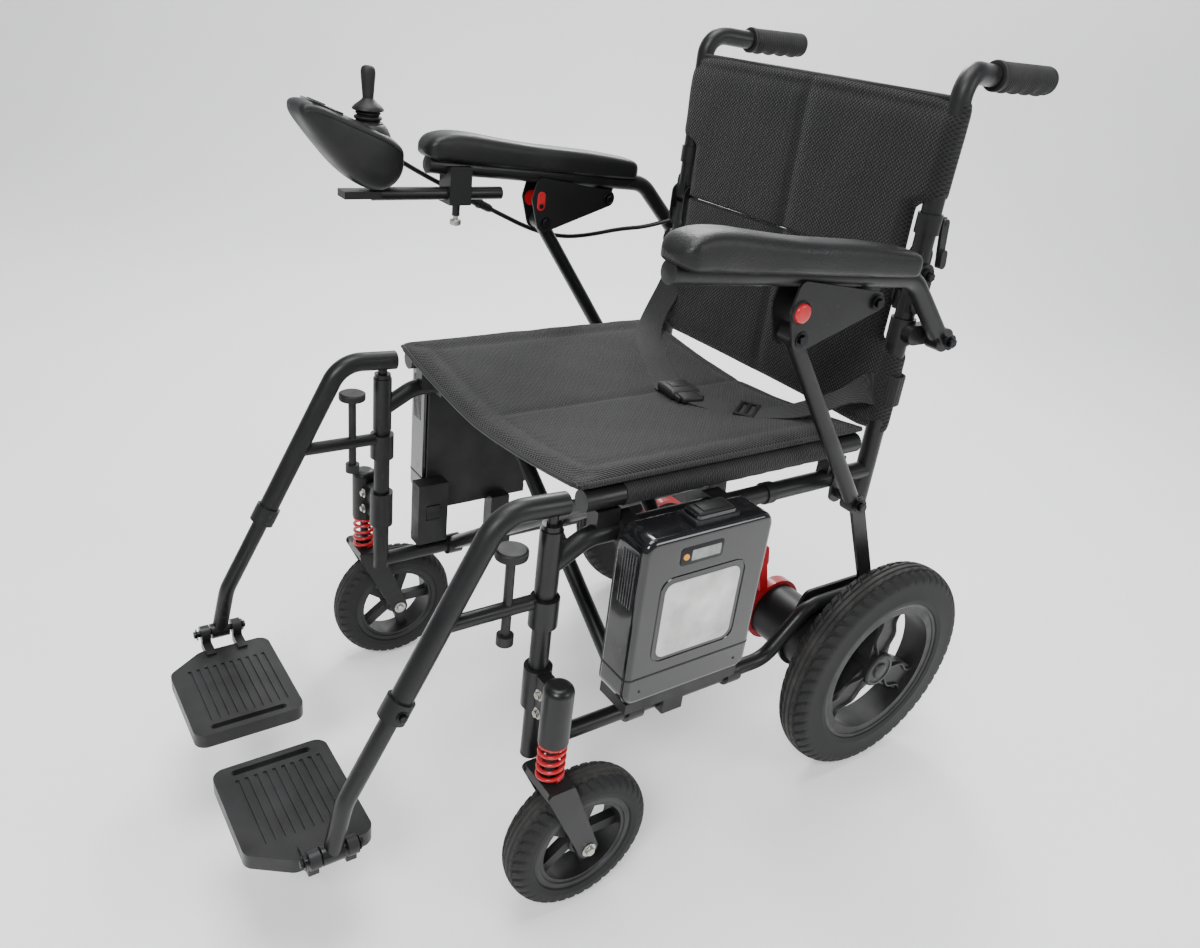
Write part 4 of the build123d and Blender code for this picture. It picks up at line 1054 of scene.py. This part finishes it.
def make_back():
    """Padded covers, drawn over the back posts and cut away round the hinges."""
    for name, body in (("back_upholstery_upper", "right_back"), ("back_upholstery_lower", "right_side")):
        low, high = map(Vector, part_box(name))
        upper = name.endswith("upper")
        z0, z1 = (FOLD_Z - 0.0008, high.z) if upper else (low.z - 0.008, FOLD_Z + 0.0002)
        hem = z1 if upper else z0
        bm = bmesh.new()
        wide, narrow = POST_X + COVER_R, 0.191

        def reach(z):
            out = blend_step(z, 0.770, 0.790) if upper else 1 - blend_step(z, 0.600, 0.620)
            corner = max(0.0, 1 - abs(z - hem) / 0.010)
            return narrow + (wide - narrow) * out - 0.004 * corner ** 2
        row = hem + (-0.014 if upper else 0.014)
        seams = [((0, z0), (0, z1)), ((-wide, row), (wide, row))]

        def place(s, z, front):
            half = reach(z)
            x = half * sin(s * pi / 2)
            t = x / POST_X
            bow = 0.0055 * max(0.0, 1 - t * t) * (1 if not upper else 0.8)
            face, rear = POST_Y - COVER_R + bow, POST_Y + 0.0012 + bow
            rear += (POST_Y + COVER_R - rear) * blend_step(abs(x), 0.186, 0.200)
            if abs(x) > POST_X:
                bend = sqrt(max(0.0, COVER_R ** 2 - (abs(x) - POST_X) ** 2))
                face, rear = POST_Y - bend, POST_Y + bend
            mid = (face + rear) / 2
            edge = max(0.0, abs(z - hem) - 0.0002)
            rolled = exp(-edge / 0.004)
            if half < wide - 0.002 and abs(x) <= POST_X:
                rolled = max(rolled, exp(-(half - abs(x)) / 0.003))
            sewn = stitched(x, z, seams, 0.006)
            ripple = 0.0006 * sin(x * 47 + z * 31) * sin(z * 59 - x * 18)
            if front:
                return (x, face + (mid - face) * 0.8 * rolled + 0.0046 * sewn * (1 - rolled) + ripple, z)
            return (x, rear - (rear - mid) * 0.8 * rolled, z)
        grid_slab(bm, steps(-1, 1, 84), steps(z0, z1, 44), place)
        panel = finish_piece(name + "_cover", bm, body, BACK_CLOTH, replaces=(name,))
        puff(panel, 2.0, 0.0014)
        soften(panel)
        shade_smooth(panel, BACK_CLOTH)
        fold_soft(panel)
    bm = bmesh.new()
    top = Vector(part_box("back_upholstery_upper")[1]).z
    line = [(x, POST_Y - 0.006 + 0.0045 * (1 - (x / POST_X) ** 2), top - 0.0016)
            for x in steps(-0.212, 0.212, 40)]
    cord_bead(bm, line, 0.0026)
    binding = finish_piece("back_top_binding", bm, "right_back", HEM_CLOTH)
    fold_soft(binding)


make_back()


def make_arm_pads():
    """Foam arm pads with a waved crown."""
    crest = [(-0.136, 0.757), (-0.122, 0.7655), (-0.098, 0.7715), (-0.070, 0.7705), (-0.030, 0.7648),
             (0.02, 0.7585),
             (0.07, 0.7545), (0.12, 0.7505), (0.165, 0.7455), (0.199, 0.7405)]
    path = smooth_path([(0, y, z) for y, z in crest], 6)

    def crest_height(y):
        for a, b in zip(path, path[1:]):
            if y <= b.y:
                return a.z + (b.z - a.z) * (y - a.y) / (b.y - a.y)
        return path[-1].z
    around, y0, y1 = 32, -0.1300, 0.1985
    for side, sign in SIDES.items():
        node = f"{side}_armrest_pad"
        low, high = map(Vector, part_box(node))
        centre, half = (low.x + high.x) / 2, (high.x - low.x) / 2 - 0.001
        bm = bmesh.new()
        rings = []
        count = 60
        for i in range(count + 1):
            s = i / count
            y = y0 + (y1 - y0) * (s - sin(2 * pi * s) / (2 * pi) * 0.85)
            lead = min(1.0, (y - y0) / 0.017)
            tail = min(1.0, (y1 - y) / 0.016)
            full = sqrt(max(0.0, 1 - (1 - lead) ** 2)) * sqrt(max(0.0, 1 - (1 - tail) ** 2))
            full = max(full, 0.04)
            slim = 1 - 0.05 * blend_step(y, -0.05, 0.02) + 0.02 * blend_step(y, 0.08, 0.16)
            waist = half * slim * full ** 0.8
            top = crest_height(max(y, -0.135))
            bottom = 0.7385 - 0.0714 * (y + 0.122)
            mid, tall = (top + bottom) / 2, (top - bottom) / 2 * full
            ring = []
            for k in range(around):
                c, r = cos(2 * pi * k / around), sin(2 * pi * k / around)
                lift = 0.66 if r > 0 else 0.28
                ring.append(bm.verts.new((centre + waist * copysign(abs(c) ** 0.5, c), y,
                                          mid + tall * copysign(abs(r) ** lift, r))))
            rings.append(ring)
        join_rings(bm, rings)
        cap_ends(bm, rings)
        pad = finish_piece(node + "_foam", bm, f"{side}_armrest", VINYL, replaces=(node,))
        puff(pad, 1.5, 0.0012)
        soften(pad)
        shade_smooth(pad, VINYL)


make_arm_pads()


# ---- grips, controller and small hardware -----------------------------------------------
def make_grips():
    """Push grips: fine ribs all round, with four finger swells along the underside."""
    for side, sign in SIDES.items():
        low, high = map(Vector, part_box(f"{side}_push_grip"))
        centre = Vector(((low.x + high.x) / 2, low.y, (low.z + high.z) / 2))
        length = high.y - low.y
        outline = [(0, 11.9), (0, 15.4), (1.0, 16.4), (5.0, 16.4), (6.0, 15.2)]
        for rib in range(21):
            begin = 7 + rib * 4.15
            outline += [(begin, 14.6), (begin + 0.9, 15.5), (begin + 2.6, 15.5), (begin + 3.5, 14.6)]
        outline += [(95.2, 14.8), (96.2, 15.6), (99, 15.0), (100, 13.0), (100, 0.1)]
        bm = bmesh.new()
        spun(bm, outline, centre, (0, 1, 0), 44, False)
        for vert in bm.verts:
            off = vert.co - centre
            radius = sqrt(off.x ** 2 + off.z ** 2)
            if radius > 0.012 and 0.006 < off.y < length - 0.006:
                under = max(0.0, -off.z / radius) ** 1.5
                swell = 0.0024 * (0.5 - 0.5 * cos(2 * pi * 4 * (off.y - 0.006) / (length - 0.012))) - 0.0008
                vert.co.x += off.x / radius * swell * under
                vert.co.z += off.z / radius * swell * under
        finish_piece(f"{side}_grip_ribs", bm, f"{side}_back", GRIP_RUBBER,
                     replaces=(f"{side}_push_grip",))


def make_controller():
    low, high = map(Vector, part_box("joystick_housing"))
    stick_low, stick_high = map(Vector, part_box("joystick_stick"))
    at = Vector(((stick_low.x + stick_high.x) / 2, (stick_low.y + stick_high.y) / 2, 0.779))
    # shell: stations from the lip at the front to the round tail
    shell = [(-0.2905, 0.7960, 0.7900, 0.020), (-0.2880, 0.8005, 0.7835, 0.0270),
             (-0.2800, 0.8030, 0.7720, 0.0305),
             (-0.2640, 0.8000, 0.7520, 0.0318), (-0.2450, 0.7930, 0.7310, 0.0324),
             (-0.2250, 0.7855, 0.7150, 0.0322),
             (-0.2050, 0.7780, 0.7060, 0.0312), (-0.1880, 0.7710, 0.7055, 0.0288),
             (-0.1740, 0.7625, 0.7130, 0.0245),
             (-0.1660, 0.7550, 0.7230, 0.0190), (-0.1625, 0.7480, 0.7330, 0.0110)]
    spans = smooth_path([(y, top, bottom) for y, top, bottom, wide in shell], 3)
    widths = smooth_path([(y, wide, 0) for y, top, bottom, wide in shell], 3)
    bm = bmesh.new()
    rings = []
    for span, width in zip(spans, widths):
        y, top, bottom = span
        mid, tall, ring = (top + bottom) / 2, (top - bottom) / 2, []
        for k in range(40):
            c, s = cos(2 * pi * k / 40), sin(2 * pi * k / 40)
            lift = 0.3 if s > 0 else 0.8
            ring.append(bm.verts.new((at.x + width.y * copysign(abs(c) ** 0.55, c), y,
                                      mid + tall * copysign(abs(s) ** lift, s))))
        rings.append(ring)
    join_rings(bm, rings)
    cap_ends(bm, rings)
    housing = finish_piece("controller_shell", bm, "joystick", MOULDED,
                           replaces=("joystick_housing",))
    soften(housing)
    shade_smooth(housing, MOULDED)

    def top_of(y):
        for a, b in zip(spans, spans[1:]):
            if y <= b.x:
                return a.y + (b.y - a.y) * (y - a.x) / (b.x - a.x)
        return spans[-1].y
    # seam between the two halves of the shell
    for face in (1, -1):
        bm = bmesh.new()
        line = [(at.x + face * (w.y * 0.992 + 0.0002), s.x, s.y - 0.0085)
                for s, w in zip(spans[4:-5], widths[4:-5])]
        cord_bead(bm, line, 0.0007, 6)
        finish_piece(f"controller_seam_{'left' if face > 0 else 'right'}", bm, "joystick", BOOT_RUBBER)
    # raised collar, rubber boot with three bellows and a skirt, and the knob
    collar = [(-12, 14), (-12, 27), (-6, 25.4), (-1, 22.8), (2.4, 20.2), (4.0, 18.4), (4.4, 17.2), (4.0, 14)]
    turned("joystick_collar", collar, (at.x, at.y, 0.7755), (0, 0, 1), "joystick",
           MOULDED, 48, True, (0, 1, 0))
    boot = [(-2, 13.6), (-2, 16), (0.6, 17.6), (2.2, 17.2), (4.2, 13.4), (5.6, 15.8), (7.2, 16.4),
            (8.6, 15.6), (10, 12.4),
            (11.2, 14.2), (12.6, 14.6), (13.8, 13.6), (14.8, 10.8), (14.8, 17.2), (15.6, 18.4), (17.2, 18.2),
            (20.5, 15.2),
            (24, 10.6), (26.5, 7.6), (28.5, 6.2), (28.5, 3.2), (6, 3.2)]
    turned("joystick_bellows", boot, at, (0, 0, 1), "joystick_boot", BOOT_RUBBER,
           48, True, (0, 1, 0), ("joystick_boot",))
    knob = [(26.5, 3.1), (26.5, 5.6), (28.5, 6.4), (34, 6.8), (42, 7.4), (52, 8.3), (56, 8.5), (59.5, 8.0),
            (61.8, 6.6),
            (63, 4.2), (63.4, 0.1)]
    turned("joystick_knob", knob, at, (0, 0, 1), "joystick_stick", GRIP_RUBBER,
           40, False, (0, 1, 0), ("joystick_stick",))
    # key panel let into the sloping top, with keys and charge lights
    y_mid = -0.2560
    tilt = Matrix.Rotation(atan((top_of(y_mid + 0.012) - top_of(y_mid - 0.012)) / 0.024), 4, "X")
    seat_at = Matrix.Translation((at.x, y_mid, top_of(y_mid))) @ tilt
    for name, boxes, material, slot in (
            ("controller_panel", [((-0.0235, -0.0190, -0.0030), (0.0235, 0.0160, 0.0008))], CASE_GLOSS,
             "moulded_black"),
            ("controller_keys", [((-0.0190 + k * 0.0145, -0.0135, 0.0),
                                  (-0.0095 + k * 0.0145, -0.0045, 0.0022))
                                 for k in range(3)], MOULDED, "moulded_black"),
            ("controller_lights", [((-0.0185 + k * 0.008, 0.0040, 0.0), (-0.0135 + k * 0.008, 0.0065, 0.0012))
                                   for k in range(5)], AMBER, "red_plastic")):
        bm = bmesh.new()
        for box_low, box_high in boxes:
            rounded_box(bm, box_low, box_high, 0.0006, 2)
        bmesh.ops.transform(bm, matrix=seat_at, verts=bm.verts)
        finish_piece(name, bm, "joystick", material)
    screw = [(0, 0.1), (0, 6.4), (1.2, 7.4), (6, 7.4), (7.4, 6.2), (7.4, 3.2), (20, 3.0), (20, 0.1)]
    turned("clamp_thumb_screw", screw, (at.x, -0.085, 0.659), (0, 0, 1),
           "right_armrest", ZINC, 14, False, (0, 1, 0))


def make_fasteners():
    for side, sign in SIDES.items():
        out = Vector((sign, 0, 0))
        down = Vector((0, 0, -1))

        def at(x, y, z):
            return Vector((sign * x * MM, y * MM, z * MM))
        bolts(f"{side}_frame_bolts", [
            (at(228, 266.5, 702), out, 5.5, 4.5), (at(192, 266.5, 702), -out, 5.5, 4),
            (at(262, 290, 634), out, 6, 4.5), (at(259, 210, 436), out, 6, 4.5),
            (at(212.5, 266.5, 408), out, 5.5, 4), (at(212.5, 331, 268), out, 5.5, 4),
            (at(196, 300, 190), -out, 5, 4), (at(196, 250, 255), -out, 5, 4),
        ], f"{side}_side")
        bolts(f"{side}_castor_clamp_bolts", [
            (at(238, -207.5, 292), (0, -1, 0), 4.2, 3.6), (at(238, -207.5, 268), (0, -1, 0), 4.2, 3.6),
        ], f"{side}_side", ZINC)
        bolts(f"{side}_bracket_bolts", [
            (at(263, 146, 691), out, 5.5, 3.4), (at(260.5, 46, 660), out, 5.5, 3.2),
            (at(231.5, 46, 660), -out, 5.5, 3.2), (at(229, 146, 691), -out, 5.5, 3.4),
        ], f"{side}_armrest_bracket")
        button = [(-1, 0.1), (-1, 10.2), (3.4, 10.2), (5.2, 9.8), (6.2, 8.8), (6.6, 7.0), (6.6, 0.1)]
        turned(f"{side}_release_cap", button, at(258.8, 37.5, 688), out,
               f"{side}_armrest_button", RED_PLASTIC, 36, False, None,
               (f"{side}_armrest_button",))
        ring = [(0, 10.5), (1.4, 10.5), (2.2, 11.1), (1.6, 12.0), (0, 12.4)]
        turned(f"{side}_release_ring", ring, at(260.3, 37.5, 688), out,
               f"{side}_armrest_bracket", MOULDED, 36)
        # oval red slot round the release pin on the inner cheek
        bm = bmesh.new()
        rounded_plate(bm, (sign * 0.2318, sign * 0.2302), (0.0315, 0.0435), (0.6760, 0.7010), 0.0058)
        finish_piece(f"{side}_release_slot", bm, f"{side}_armrest_bracket", RED_PLASTIC)
        bm = bmesh.new()
        rounded_plate(bm, (sign * 0.2316, sign * 0.2290), (0.0342, 0.0408), (0.6790, 0.6856), 0.0032)
        finish_piece(f"{side}_release_pin", bm, f"{side}_armrest_bracket", BLACK_BOLT)
        bolts(f"{side}_foot_hinge_nuts", [
            (at(207, -445.5, 147), (0, -1, 0), 5.0, 3.2), (at(207, -389.5, 147), (0, 1, 0), 5.0, 3.2),
        ], f"{side}_legrest_tube")
        collar = at(207, -302.5 - (398 - 306) * tan(radians(28)), 306)
        bolts(f"{side}_collar_pin", [
            (collar + out * 14.6 * MM, out, 4.2, 3.6),
        ], f"{side}_legrest")
        # plastic plugs in the open tube ends
        for name, point, way, radius, body in (
                ("arm_tip", at(246, -122, 733), Vector((0, -0.9975, 0.0712)), 11.2, f"{side}_armrest"),
                ("post_foot", at(210, -193.5, 188), down, 10.8, f"{side}_side"),
                ("rear_tube", at(210, 338, 259), Vector((0, 1, 0)), 10.4, f"{side}_side")):
            outline = [(-0.3, 0.1), (-0.3, radius), (1.6, radius), (3.0, radius * 0.8), (3.5, 0.1)]
            turned(f"{side}_{name}_plug", outline, point, way, body, MOULDED,
                   28, False, way.orthogonal().normalized())
        # ribbed end cap of the motor
        motor_low, motor_high = map(Vector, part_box(f"{side}_motor"))
        inner = motor_low.x if sign > 0 else motor_high.x
        cap = [(-1.4, 0.1), (-1.4, 9), (-0.6, 10), (-0.6, 26), (-1.8, 27), (-1.8, 30.5), (-0.4, 32), (1, 32),
               (1, 0.1)]
        turned(f"{side}_motor_cap", cap, (inner, 0.2465, 0.200), out,
               f"{side}_side", MOTOR_BLACK, 48, False)
        # rubber band round the leg-rest latch knob
        knob = middle(f"{side}_legrest_latch")
        ridge = [(0, 15.6), (0, 17.0), (6, 17.0), (6, 15.6)]
        turned(f"{side}_latch_knob_ring", ridge, (knob.x, knob.y, 0.4505), (0, 0, 1),
               f"{side}_legrest_latch", GRIP_RUBBER, 24, True, (0, 1, 0))


make_grips()
make_controller()
make_fasteners()
